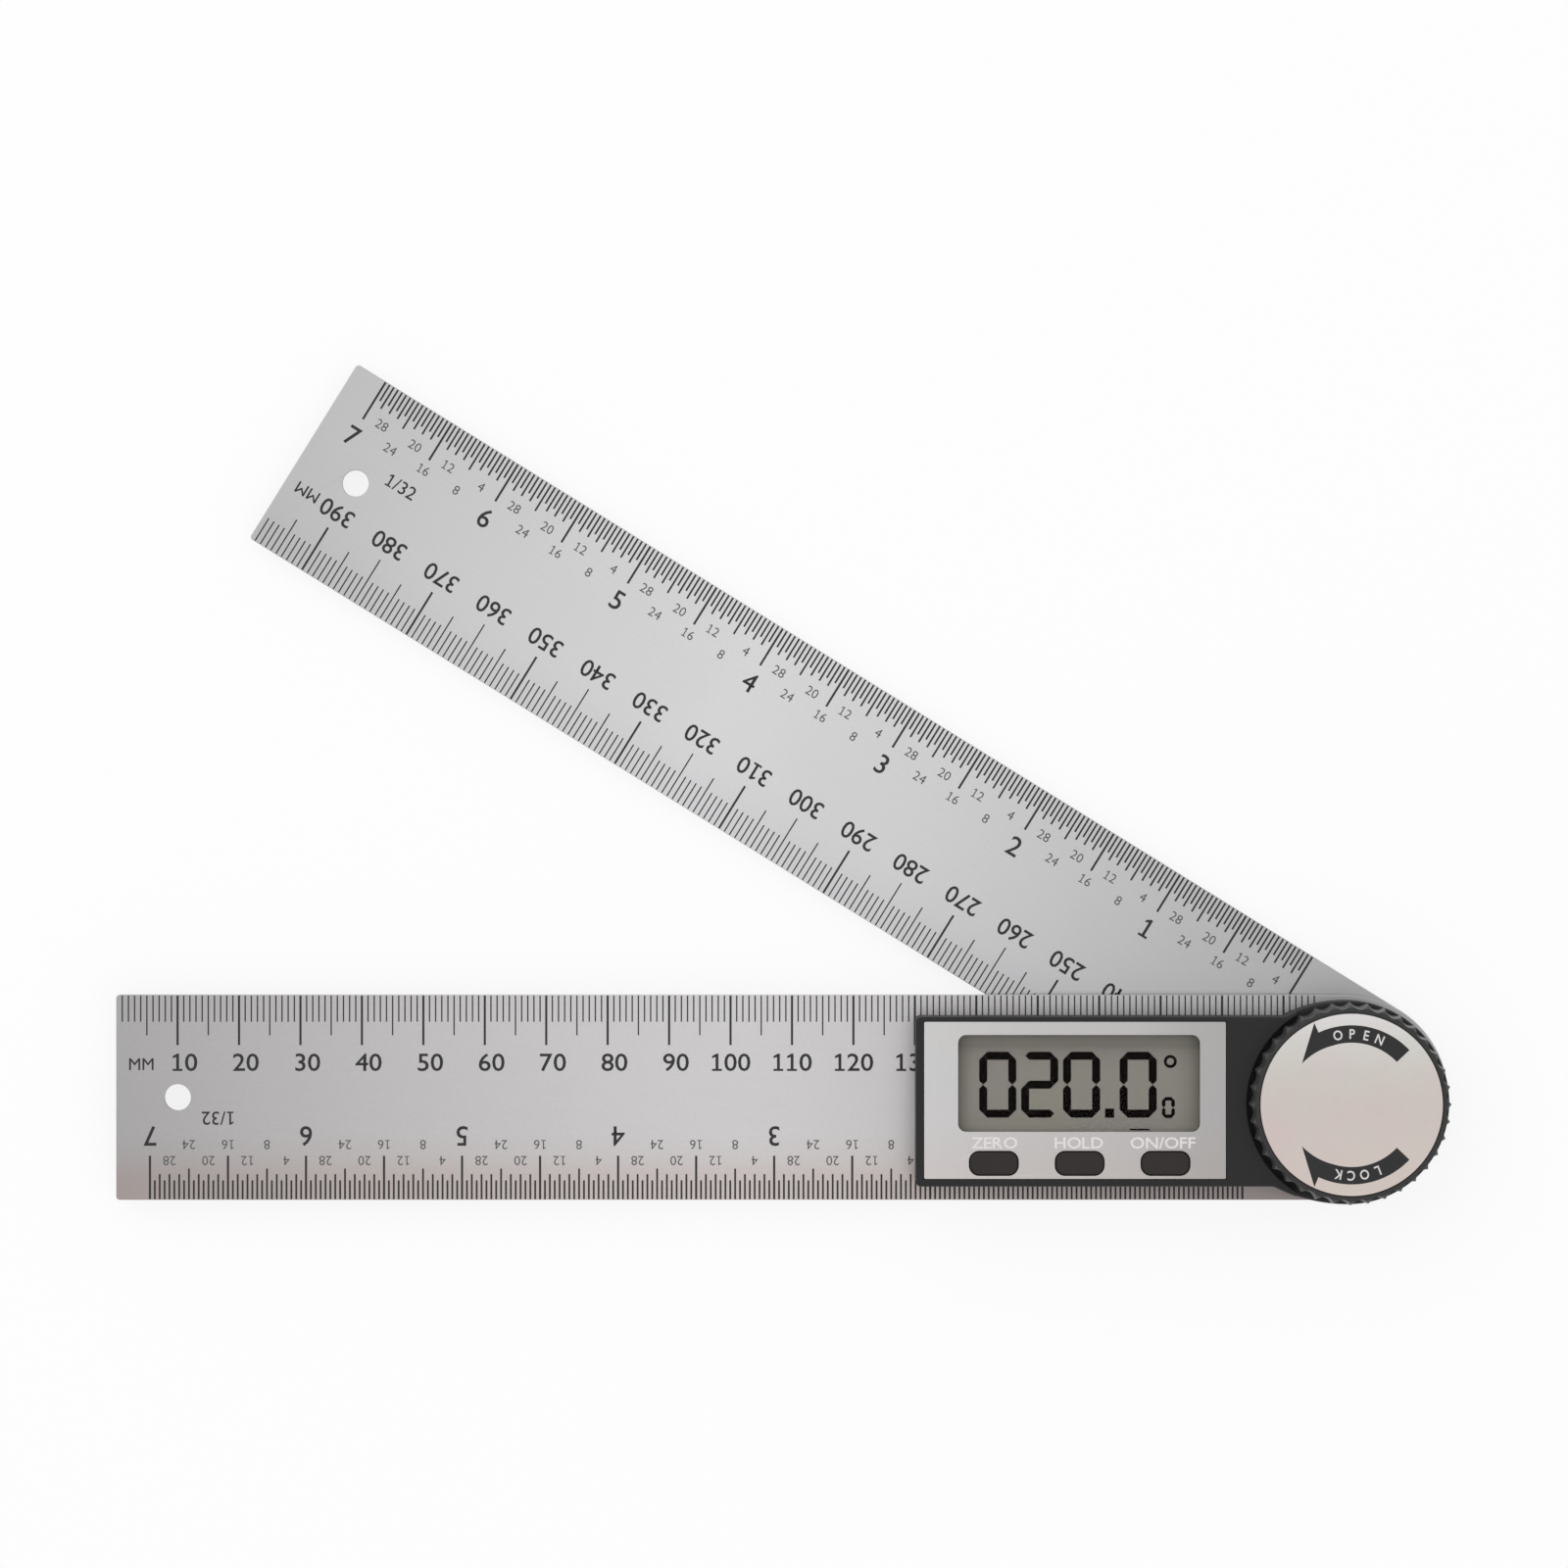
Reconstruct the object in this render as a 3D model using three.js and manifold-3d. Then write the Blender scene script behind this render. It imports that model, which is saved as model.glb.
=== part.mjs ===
// A digital angle finder: two steel rules on a clamped pivot, with a housing that shows the angle.
// Millimetres, +Z out of the display. The origin is on the pivot axis, in the rear cap's flat back face.
import * as THREE from "three";
import { mergeVertices } from "three/addons/utils/BufferGeometryUtils.js";
import Module from "manifold-3d";

const wasm = await Module();
wasm.setup();

// Clearances shared by the whole assembly
const seatGap = 0.1; // between two faces that seat on each other
const fitGap = 0.15; // all round a piece that drops into a pocket
const runGap = 0.2; // all round a piece that turns in a hole
const overrun = 0.5; // how far a cutting tool passes through the face it opens

// Fineness of the round forms
const chordError = 0.04; // how far a flat facet lies inside its true curve
const sameSpot = 0.001; // points of an outline that are nearer than this are one
const domeSteps = 3;
const leafSteps = 8;

// The two rules
const openAngle = 31.8; // degrees between the two rules
const ruleReach = 200; // pivot axis to tip, which is the 200 mm scale
const ruleMargin = 3.05; // how much of the rule shows on each side of the housing
const ruleThickness = 1.2;
const ruleLift = 0.6; // the rule's middle line lies this far above the pivot axis
const ruleCornerRadius = 0.6;
const hangHoleRadius = 2.15;
const hangHoleInset = 10;

// Pivot stack, from the back
const capInset = 1.1; // the cap lies this far inside the rules' edges
const capThickness = 2.2;
const capChamfer = 0.6;
const frictionWasherThickness = 0.3;
const hubRadius = 11;
const hubRimSink = 0.1; // the hub's rim stops this far below the fixed rule's front
const hubSpigotRadius = 8;
const hubSleeveRadius = 4;
const hubSleeveSink = 0.4; // the sleeve stops this far below the housing's round front
const rotorInset = 1.8; // the rotor's edge lies this far inside the board's ring
const rotorThickness = 0.7;
const rotorToBoard = 0.7;
const boltRadius = 2.5;
const boltHeadAcrossFlats = 8;
const boltHeadHeight = 1.2;
const hubScrewToHead = 0.48; // from a hub screw to the nearest corner of the bolt's head
const hubScrewCount = 3;
const hubScrewLength = 5.4;

// Countersunk screws
const screwShankRadius = 0.9;
const screwHeadRadius = 1.8;
const screwHeadHeight = 0.9;
const screwHeadSink = 0.12; // how far the head lies below the face
const driveLength = 2;
const driveWidth = 0.5;
const driveDepth = 0.4;
const screwTipChamfer = 0.3;

// Display window and the face plate round it
const windowLength = 39;
const windowRadius = 1.3;
const plateThickness = 0.5;
const plateMarginLeft = 5.6;
const plateMarginRight = 4.3;
const plateMarginTop = 2.1;
const plateMarginBottom = 0.65;
const plateRadius = 0.25;
const plateToKnobWell = 3;
const lensLap = 0.5;
const lensThickness = 0.9;
const glassLap = 1;
const glassThickness = 1;
const zebraWidth = 1.6;
const zebraHeight = 0.7;

// Buttons
const buttonLength = 7.7;
const buttonHeight = 3.7;
const buttonRadius = 1.4;
const buttonInset = 1.8; // the outer buttons' ends lie this far inside the window's ends
const buttonShift = 0.1; // the middle button stands this far right of the window's middle
const buttonToWindow = 3.25;
const buttonProud = 0.35;
const buttonEdge = 0.25;
const buttonTravel = 0.6;
const flangeLap = 0.8;
const flangeThickness = 0.7;
const nubRadius = 1.4;
const domeRadius = 2.1;
const domeHeight = 0.3;

// Housing
const housingLift = 0.55; // the housing's middle line lies this far above the pivot axis
const borderSide = 1.2;
const borderEnd = 1;
const housingRadius = 0.8;
const housingWall = 1.2;
const frontWall = 1.1;
const shellEdge = 0.35;
const roundInset = 0.4; // the round end lies this far inside the rules' round ends
const roundCeiling = 1.1;
const roundFillet = 3;
const bossRadius = 2;
const bossToGlass = 0.35;
const bossToWall = 1.4;
const trayThickness = 0.85;
const boardThickness = 0.8;
const boardNeck = 15.6;
const boardRingGap = 0.7; // from the board's ring to the housing's wall
const caseScrewLength = 5;
const chipRadius = 4;
const chipHeight = 0.6;

// Battery, its well and its bayonet cover
const batteryRadius = 10;
const batteryThickness = 3.2;
const batteryStep = 0.3;
const batteryCapRadius = 8.4;
const batteryRim = 0.25;
const contactHeight = 0.55;
const contactThickness = 0.2;
const contactWidth = 4.4;
const contactLength = 13;
const wellWall = 1;
const coverToPlateEdge = 1.5; // from the cover's hole to the level of the plate's long edges
const coverWall = 0.8;
const coverFloor = 1.05;
const lugReach = 1.2;
const lugThickness = 0.65;
const lugSpan = 24; // degrees
const coverTurn = 40; // degrees from locked to free
const lugSlack = 3; // degrees
const coinSlotLength = 13;
const coinSlotWidth = 1.8;
const coinSlotDepth = 0.5;

// Lock knob
const knobInset = 0.2; // the ridges' tips lie this far inside the housing's round edge
const knobTeeth = 36;
const knobToothDepth = 0.8;
const knobSideGap = 0.8; // from the ridges' tips to the wall of the well round them
const knobChamfer = 0.7;
const knobToHousing = 0.3;
const knobPocketRadius = 9.4;
const knobWeb = 0.85;
const knobRise = 0.4; // how far the knob climbs its thread in half a turn
const knobFaceRim = 0.55; // from the silver face's edge to the flutes
const knobFaceThickness = 0.5;
const nutAcrossFlats = 9;
const nutHeight = 1.4;
const threadGap = 0.1;
const clipRadius = 3.6;
const clipThickness = 0.3;
const clipGrooveDepth = 0.5;
const clipMouth = 2.4;
const washerSideGap = 0.8; // from the washers' edges to the knob's pocket
const thrustWasherThickness = 0.4;
const waveWasherInnerRadius = 5.4;
const waveWasherThickness = 0.25;
const waveWasherRise = 0.15;
const waveCount = 3;

// The battery's cover sets the housing's height, the housing sets the rules' width, and both set the pivot
const coverRadius = batteryRadius + fitGap + coverWall;
const coverHoleRadius = coverRadius + runGap;
const lugRadius = coverRadius + lugReach;
const wellInnerRadius = batteryRadius + 2 * fitGap;
const plateHeight = 2 * (coverHoleRadius + coverToPlateEdge);
const windowHeight = plateHeight - plateMarginTop - buttonToWindow - buttonHeight - plateMarginBottom;
const ruleWidth = plateHeight + 2 * (borderEnd + ruleMargin);
const roundRadius = ruleWidth / 2 - roundInset;
const boardRingRadius = roundRadius - housingWall - boardRingGap;
const rotorRadius = boardRingRadius - rotorInset;
const capRadius = ruleWidth / 2 - capInset;
const capFloor = capThickness - boltHeadHeight - 2 * seatGap;
const boltHoleRadius = boltRadius + runGap;
const hubScrewCircle = boltHeadAcrossFlats / Math.sqrt(3) + screwShankRadius + hubScrewToHead;
const knobTipRadius = roundRadius - knobInset;
const knobRootRadius = knobTipRadius - knobToothDepth;
const knobFaceRadius = knobRootRadius - knobFaceRim;
const knobWellRadius = knobTipRadius + knobSideGap;
const washerOuterRadius = knobPocketRadius - washerSideGap;

// Heights of the faces, worked out from the back
const movingBack = capThickness + seatGap;
const movingFront = movingBack + ruleThickness;
const fixedBack = movingFront + frictionWasherThickness + 2 * seatGap;
const fixedFront = fixedBack + ruleThickness;
const housingBack = fixedFront + seatGap;
const batteryBack = fixedBack + coverFloor + seatGap;
const batteryFront = batteryBack + batteryThickness;
const trayFront = housingBack + trayThickness;
const lugCeiling = housingBack + lugThickness + 2 * seatGap;
const wellFloorFront = lugCeiling + lugThickness;
const boardBack = batteryFront + contactHeight;
const boardFront = boardBack + boardThickness;
const glassBack = boardFront + zebraHeight + 2 * seatGap;
const glassFront = glassBack + glassThickness;
const wallBack = glassFront + seatGap;
const wallFront = wallBack + frontWall;
const plateBack = wallFront + seatGap;
const housingFront = plateBack + plateThickness;
const roundFront = boardFront + 4 * seatGap + roundCeiling;
const waveBottom = roundFront + seatGap;
const thrustBack = waveBottom + waveWasherThickness + 2 * waveWasherRise + seatGap;
const knobBack = roundFront + knobToHousing;
const webBack = thrustBack + thrustWasherThickness + seatGap;
const webFront = webBack + knobWeb;
const nutBack = webFront + seatGap;
const nutFront = nutBack + nutHeight;
const clipBack = nutFront + knobRise + seatGap;
const clipFront = clipBack + clipThickness;
const boltFront = clipFront + seatGap;
const faceBack = boltFront + seatGap;
const knobFront = faceBack + knobFaceThickness;
const hubBack = movingFront + seatGap;
const hubRimFront = fixedFront - hubRimSink;
const rotorFront = boardBack - rotorToBoard;
const hubSpigotFront = rotorFront - rotorThickness - seatGap;
const hubSleeveFront = roundFront - hubSleeveSink;

// Places across the housing
const plateRight = -(knobWellRadius + plateToKnobWell);
const windowRight = plateRight - plateMarginRight;
const windowLeft = windowRight - windowLength;
const plateLeft = windowLeft - plateMarginLeft;
const housingLeft = plateLeft - borderSide;
const plateTop = housingLift + plateHeight / 2;
const plateBottom = housingLift - plateHeight / 2;
const housingTop = plateTop + borderEnd;
const housingBottom = plateBottom - borderEnd;
const windowTop = plateTop - plateMarginTop;
const windowBottom = windowTop - windowHeight;
const windowMiddle = (windowLeft + windowRight) / 2;
const buttonRow = plateBottom + plateMarginBottom + buttonHeight / 2;
const buttonMiddle = windowMiddle + buttonShift;
const buttonPitch = (windowLength - buttonLength) / 2 - buttonInset;
const glassLeft = windowLeft - glassLap;
const glassRight = windowRight + glassLap;
const glassTop = windowTop + glassLap;
const glassBottom = windowBottom - glassLap;
const cavityLeft = housingLeft + housingWall;
const cavityTop = housingTop - housingWall;
const cavityBottom = housingBottom + housingWall;
const bossLeft = glassLeft - bossToGlass - bossRadius;
const bossRight = glassRight + bossToGlass + bossRadius;
const bossTop = cavityTop - bossToWall;
const bossBottom = cavityBottom + bossToWall;
const caseScrewPlaces = [
  [bossLeft, bossTop],
  [bossLeft, bossBottom],
  [bossRight, bossTop],
  [bossRight, bossBottom],
];

// Materials, with the colours that the real pieces show
function material(color, roughness, metalness) {
  return new THREE.MeshStandardMaterial({ color, roughness, metalness });
}
const brushedSteel = material(0xc2c2c4, 0.38, 1);
const brightSteel = material(0xb4b6ba, 0.3, 1);
const brass = material(0xc9a24d, 0.35, 1);
const blackPlastic = material(0x2f2f31, 0.55, 0);
const keyRubber = material(0x37363a, 0.7, 0);
const silverPlate = material(0xc6c6c8, 0.42, 0.9);
const knobFaceSilver = material(0xd0cbca, 0.4, 0.6);
const clearPlastic = material(0xdfe6e0, 0.08, 0);
clearPlastic.transparent = true;
clearPlastic.opacity = 0.3;
const displayGlass = material(0x7d7a70, 0.25, 0);
const boardGreen = material(0x1f6a43, 0.5, 0);
const nylonWhite = material(0xe4e2da, 0.6, 0);
const zebraPink = material(0xd8a9ac, 0.7, 0);
const epoxyBlack = material(0x17171a, 0.3, 0);

// A closed three.js geometry as a solid for cutting and joining.
function solidOf(geometry) {
  const bare = geometry.index ? geometry.toNonIndexed() : geometry.clone();
  bare.deleteAttribute("normal");
  bare.deleteAttribute("uv");
  const merged = mergeVertices(bare);
  const vertProperties = merged.attributes.position.array;
  const triVerts = new Uint32Array(merged.index.array);
  return new wasm.Manifold(new wasm.Mesh({ numProp: 3, vertProperties, triVerts }));
}

// A solid back as a three.js geometry.
function geometryOf(solid) {
  const mesh = solid.getMesh();
  const geometry = new THREE.BufferGeometry();
  geometry.setAttribute("position", new THREE.BufferAttribute(mesh.vertProperties, 3));
  geometry.setIndex(new THREE.BufferAttribute(mesh.triVerts, 1));
  geometry.computeVertexNormals();
  return geometry;
}

function cut(body, ...tools) {
  const left = tools.reduce((solid, tool) => solid.subtract(solidOf(tool)), solidOf(body));
  return geometryOf(left);
}

function join(body, ...more) {
  const whole = more.reduce((solid, piece) => solid.add(solidOf(piece)), solidOf(body));
  return geometryOf(whole);
}

function common(body, other) {
  return geometryOf(solidOf(body).intersect(solidOf(other)));
}

// How many sides a round form of this radius needs, as a multiple of four.
function sidesFor(radius) {
  const sideAngle = 2 * Math.acos(1 - Math.min(chordError / radius, 0.5));
  return 4 * Math.ceil((2 * Math.PI) / sideAngle / 4);
}

function arcPoints(x, y, radius, from, to) {
  const turn = THREE.MathUtils.degToRad(to - from);
  const steps = Math.max(1, Math.round((sidesFor(radius) * Math.abs(turn)) / (2 * Math.PI)));
  return Array.from({ length: steps + 1 }, (_, i) => {
    const angle = THREE.MathUtils.degToRad(from) + (turn * i) / steps;
    return new THREE.Vector2(x + radius * Math.cos(angle), y + radius * Math.sin(angle));
  });
}

// A closed outline from arcs that straight lines join. Each is [x, y, radius, from, to], in degrees.
function outlineFrom(arcs) {
  const points = arcs.flatMap((arc) => arcPoints(...arc));
  return new THREE.Shape(points.filter((point, i) => point.distanceTo(points.at(i - 1)) > sameSpot));
}

// A flat outline raised from one height to another.
function plate(outline, bottom, top) {
  const options = { depth: top - bottom, bevelEnabled: false };
  return new THREE.ExtrudeGeometry(outline, options).translate(0, 0, bottom);
}

// A round bar or cone that stands on the XY plane's normal.
function cone(bottomRadius, topRadius, bottom, top) {
  const sides = sidesFor(Math.max(bottomRadius, topRadius));
  const bar = new THREE.CylinderGeometry(topRadius, bottomRadius, top - bottom, sides);
  return bar.rotateX(Math.PI / 2).translate(0, 0, (bottom + top) / 2);
}

function disc(radius, bottom, top) {
  return cone(radius, radius, bottom, top);
}

// A form turned round Z from [radius, height] pairs, listed from the bottom up round its outside.
function turned(pairs) {
  const profile = pairs.map(([radius, height]) => new THREE.Vector2(radius, height));
  const sides = sidesFor(Math.max(...profile.map((point) => point.x)));
  return new THREE.LatheGeometry([...profile, profile[0]], sides).rotateX(Math.PI / 2);
}

function ring(inner, outer, bottom, top) {
  return turned([[inner, bottom], [outer, bottom], [outer, top], [inner, top]]);
}

// A rectangle with round corners between two corner points.
function roundedRectangle(left, bottom, right, top, radius) {
  return outlineFrom([
    [right - radius, bottom + radius, radius, -90, 0],
    [right - radius, top - radius, radius, 0, 90],
    [left + radius, top - radius, radius, 90, 180],
    [left + radius, bottom + radius, radius, 180, 270],
  ]);
}

function hexagon(acrossFlats, bottom, top) {
  const cornerRadius = acrossFlats / Math.sqrt(3);
  const bar = new THREE.CylinderGeometry(cornerRadius, cornerRadius, top - bottom, 6);
  return bar.rotateX(Math.PI / 2).translate(0, 0, (bottom + top) / 2);
}

function moved(geometry, x, y) {
  return geometry.clone().translate(x, y, 0);
}

function named(name, geometry, finish) {
  const mesh = new THREE.Mesh(geometry, finish);
  mesh.name = name;
  return mesh;
}

// A rule lies along -X from the pivot, with a square tip and a round pivot end.
function ruleOutline() {
  const top = ruleLift + ruleWidth / 2;
  const bottom = ruleLift - ruleWidth / 2;
  const corner = ruleCornerRadius;
  return outlineFrom([
    [0, ruleLift, ruleWidth / 2, -90, 90],
    [corner - ruleReach, top - corner, corner, 90, 180],
    [corner - ruleReach, bottom + corner, corner, 180, 270],
  ]);
}

function hangHole(bottom, top) {
  const hole = disc(hangHoleRadius, bottom - overrun, top + overrun);
  return hole.translate(hangHoleInset - ruleReach, ruleLift, 0);
}

// The cutting tool for a countersunk screw that is put in from below.
function countersink(face, through) {
  const headBack = face + screwHeadSink;
  const headFront = headBack + screwHeadHeight;
  const entry = disc(screwHeadRadius + fitGap, face - overrun, headBack);
  const head = cone(screwHeadRadius + fitGap, screwShankRadius + fitGap, headBack, headFront);
  const shank = disc(screwShankRadius + fitGap, headBack, through + overrun);
  return join(entry, head, shank);
}

function fixedRule() {
  const blank = plate(ruleOutline(), fixedBack, fixedFront);
  const below = fixedBack - overrun;
  const above = fixedFront + overrun;
  const hubHole = disc(hubRadius + runGap, below, above);
  const coverHole = moved(disc(coverHoleRadius, below, above), windowMiddle, housingLift);
  const slots = lugSweep(-coverTurn - lugSpan / 2, -coverTurn + lugSpan / 2, below, above, runGap);
  const screwHoles = caseScrewPlaces.map(([x, y]) => moved(countersink(fixedBack, fixedFront), x, y));
  return cut(blank, hangHole(fixedBack, fixedFront), hubHole, coverHole, ...slots, ...screwHoles);
}

function hubScrewAngles() {
  return Array.from({ length: hubScrewCount }, (_, i) => Math.PI / 2 + (i * 2 * Math.PI) / hubScrewCount);
}

function onHubScrewCircle(geometry, angle) {
  return moved(geometry, hubScrewCircle * Math.cos(angle), hubScrewCircle * Math.sin(angle));
}

function movingRule() {
  const blank = plate(ruleOutline(), movingBack, movingFront);
  const below = movingBack - overrun;
  const above = movingFront + overrun;
  const boltHole = disc(boltHoleRadius, below, above);
  const screwHole = disc(screwShankRadius + fitGap, below, above);
  const screwHoles = hubScrewAngles().map((angle) => onHubScrewCircle(screwHole, angle));
  return cut(blank, hangHole(movingBack, movingFront), boltHole, ...screwHoles);
}

// Two opposite sectors at the cover's rim, in degrees about it: its lugs, or the room that they need.
function lugSweep(from, to, bottom, top, gap) {
  const inner = coverRadius - coverWall / 2;
  return [0, 180].map((turn) => {
    const sector = outlineFrom([
      [0, 0, lugRadius + gap, from + turn, to + turn],
      [0, 0, inner, to + turn, from + turn],
    ]);
    return moved(plate(sector, bottom, top), windowMiddle, housingLift);
  });
}

// The cap behind the moving rule, which holds the bolt's head and carries the hub screws.
function rearCap() {
  const body = turned([
    [0, 0],
    [capRadius - capChamfer, 0],
    [capRadius, capChamfer],
    [capRadius, capThickness],
    [0, capThickness],
  ]);
  const headPocket = hexagon(boltHeadAcrossFlats + 2 * fitGap, capFloor, capThickness + overrun);
  const screwHole = countersink(0, capThickness);
  const screwHoles = hubScrewAngles().map((angle) => onHubScrewCircle(screwHole, angle));
  return cut(body, headPocket, ...screwHoles);
}

// The hub: its rim turns in the fixed rule's hole, its spigot seats the rotor, its sleeve leads the bolt.
function pivotHub() {
  const body = turned([
    [boltHoleRadius, hubBack],
    [hubRadius, hubBack],
    [hubRadius, hubRimFront],
    [hubSpigotRadius, hubRimFront],
    [hubSpigotRadius, hubSpigotFront],
    [hubSleeveRadius, hubSpigotFront],
    [hubSleeveRadius, hubSleeveFront],
    [boltHoleRadius, hubSleeveFront],
  ]);
  const screwTop = screwHeadSink + hubScrewLength + seatGap;
  const screwHole = disc(screwShankRadius + fitGap, hubBack - overrun, screwTop);
  return cut(body, ...hubScrewAngles().map((angle) => onHubScrewCircle(screwHole, angle)));
}

function rotorDisc() {
  return ring(hubSleeveRadius + fitGap, rotorRadius, rotorFront - rotorThickness, rotorFront);
}

function frictionWasher() {
  const back = movingFront + seatGap;
  return ring(hubRadius + runGap, capRadius, back, back + frictionWasherThickness);
}

// A hexagon-headed bolt with a groove near its end for the retaining clip.
function clampBolt() {
  const headBack = movingBack - seatGap - boltHeadHeight;
  const head = hexagon(boltHeadAcrossFlats, headBack, headBack + boltHeadHeight);
  const grooveRadius = boltRadius - clipGrooveDepth;
  const shank = turned([
    [0, headBack + boltHeadHeight / 2],
    [boltRadius, headBack + boltHeadHeight / 2],
    [boltRadius, clipBack - seatGap / 2],
    [grooveRadius, clipBack - seatGap / 2],
    [grooveRadius, clipFront + seatGap / 2],
    [boltRadius, clipFront + seatGap / 2],
    [boltRadius, boltFront],
    [0, boltFront],
  ]);
  return join(head, shank);
}

// A countersunk screw with a cross drive, head down, with its head's face at height zero.
function screw(length) {
  const body = turned([
    [0, 0],
    [screwHeadRadius, 0],
    [screwShankRadius, screwHeadHeight],
    [screwShankRadius, length - screwTipChamfer],
    [screwShankRadius - screwTipChamfer, length],
    [0, length],
  ]);
  const slot = new THREE.BoxGeometry(driveLength, driveWidth, 2 * driveDepth);
  return cut(body, slot, slot.clone().rotateZ(Math.PI / 2));
}

// The housing's outline: a straight case whose sides sweep out into the round pivot end.
function caseOutline(left, bottom, top, radius, roundEnd, fillet) {
  const sweepX = (height) => -Math.sqrt((roundEnd + fillet) ** 2 - (height + fillet) ** 2);
  const lowX = sweepX(-bottom);
  const highX = sweepX(top);
  const lowAngle = THREE.MathUtils.radToDeg(Math.atan2(bottom - fillet, lowX));
  const highAngle = THREE.MathUtils.radToDeg(Math.atan2(top + fillet, highX));
  return outlineFrom([
    [lowX, bottom - fillet, fillet, 90, lowAngle + 180],
    [0, 0, roundEnd, lowAngle, highAngle],
    [highX, top + fillet, fillet, highAngle - 180, -90],
    [left + radius, top - radius, radius, 90, 180],
    [left + radius, bottom + radius, radius, 180, 270],
  ]);
}

// A raised outline whose upper edge is chamfered.
function eased(outline, bottom, top, edge) {
  const options = {
    depth: top - bottom - edge,
    bevelEnabled: true,
    bevelThickness: edge,
    bevelSize: edge,
    bevelOffset: -edge,
    bevelSegments: 1,
  };
  const both = new THREE.ExtrudeGeometry(outline, options).translate(0, 0, bottom);
  const keep = new THREE.BoxGeometry(2 * ruleReach, 2 * ruleReach, top - bottom + overrun);
  return common(both, keep.translate(0, 0, (top + bottom + overrun) / 2));
}

function buttonCentres() {
  return [-1, 0, 1].map((step) => buttonMiddle + step * buttonPitch);
}

function buttonOutline(gap) {
  const halfLength = buttonLength / 2 + gap;
  const halfHeight = buttonHeight / 2 + gap;
  return roundedRectangle(-halfLength, -halfHeight, halfLength, halfHeight, buttonRadius + gap);
}

function buttonHoles(bottom, top) {
  const hole = plate(buttonOutline(fitGap), bottom, top);
  return buttonCentres().map((x) => moved(hole, x, buttonRow));
}

function windowOutline(lap) {
  const radius = windowRadius;
  return roundedRectangle(windowLeft - lap, windowBottom - lap, windowRight + lap, windowTop + lap, radius);
}

// The moulded shell: a case for the display whose front is let down round the pivot for the knob.
function housing() {
  const outline = caseOutline(
    housingLeft, housingBottom, housingTop, housingRadius, roundRadius, roundFillet);
  const knobWell = disc(knobWellRadius, roundFront, housingFront + overrun);
  const body = cut(eased(outline, housingBack, housingFront, shellEdge), knobWell);

  const mouth = housingBack - overrun;
  const cavityOutline = caseOutline(
    cavityLeft, cavityBottom, cavityTop, housingRadius, roundRadius - housingWall, roundFillet);
  const wellRoof = disc(knobWellRadius + housingWall, roundFront - roundCeiling, housingFront);
  const cavity = cut(plate(cavityOutline, mouth, wallBack), wellRoof);
  const plateRecess = plate(
    roundedRectangle(plateLeft, plateBottom, plateRight, plateTop, plateRadius),
    wallFront, housingFront + overrun);
  const windowOpening = plate(windowOutline(lensLap + fitGap), wallBack - overrun, wallFront + overrun);
  const boltOpening = disc(hubSleeveRadius + runGap, boardBack, roundFront + overrun);
  const shell = cut(body, cavity, plateRecess, windowOpening, boltOpening,
    ...buttonHoles(wallBack - overrun, wallFront + overrun));

  const pilotDepth = fixedBack + screwHeadSink + caseScrewLength + seatGap;
  const boss = cut(
    disc(bossRadius, housingBack, wallBack + frontWall / 2),
    disc(screwShankRadius + fitGap, mouth, pilotDepth));
  return join(shell, ...caseScrewPlaces.map(([x, y]) => moved(boss, x, y)));
}

// The tray that closes the housing behind the board, with the battery's well moulded on it.
function tray() {
  const inset = fitGap;
  const outline = caseOutline(
    cavityLeft + inset, cavityBottom + inset, cavityTop - inset,
    housingRadius, roundRadius - housingWall - inset, roundFillet);
  const floor = plate(outline, housingBack, trayFront);
  const envelope = plate(outline, housingBack, boardBack);
  const wellFloor = moved(
    disc(lugRadius + runGap + wellWall, housingBack, wellFloorFront), windowMiddle, housingLift);
  const wellRim = moved(
    disc(wellInnerRadius + wellWall, housingBack, boardBack - seatGap), windowMiddle, housingLift);
  const well = common(join(wellFloor, wellRim), envelope);
  const hollow = moved(disc(wellInnerRadius, housingBack - overrun, boardBack), windowMiddle, housingLift);
  const coverRoom = moved(
    disc(coverHoleRadius, housingBack - overrun, lugCeiling), windowMiddle, housingLift);
  const lugRoom = lugSweep(
    -coverTurn - lugSpan / 2 - lugSlack, lugSpan / 2 + lugSlack, housingBack - overrun, lugCeiling, runGap);
  const contactSlot = new THREE.BoxGeometry(4 * wellWall, contactWidth + 2 * fitGap, boardBack);
  const slotMiddle = windowMiddle + wellInnerRadius + wellWall / 2;
  contactSlot.translate(slotMiddle, housingLift, wellFloorFront + boardBack / 2);
  const spigotHole = disc(hubSpigotRadius + runGap, housingBack - overrun, trayFront + overrun);
  const notches = caseScrewPlaces.map(([x, y]) => {
    return bossNotch(x, y, housingBack - overrun, trayFront + overrun);
  });
  return cut(join(floor, well), hollow, coverRoom, ...lugRoom, contactSlot, spigotHole, ...notches);
}

// A square notch that lets one of the housing's screw bosses stand past the tray's edge.
function bossNotch(x, y, bottom, top) {
  const reach = bossRadius + fitGap;
  const left = x < windowMiddle ? cavityLeft - overrun : x - reach;
  const low = y < housingLift ? cavityBottom - overrun : y - reach;
  const high = y < housingLift ? y + reach : cavityTop + overrun;
  return plate(roundedRectangle(left, low, x + reach, high, fitGap), bottom, top);
}

function facePlate() {
  const outline = roundedRectangle(
    plateLeft + seatGap, plateBottom + seatGap, plateRight - seatGap, plateTop - seatGap, plateRadius);
  const blank = plate(outline, plateBack, housingFront);
  const opening = plate(windowOutline(0), plateBack - overrun, housingFront + overrun);
  return cut(blank, opening, ...buttonHoles(plateBack - overrun, housingFront + overrun));
}

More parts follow.
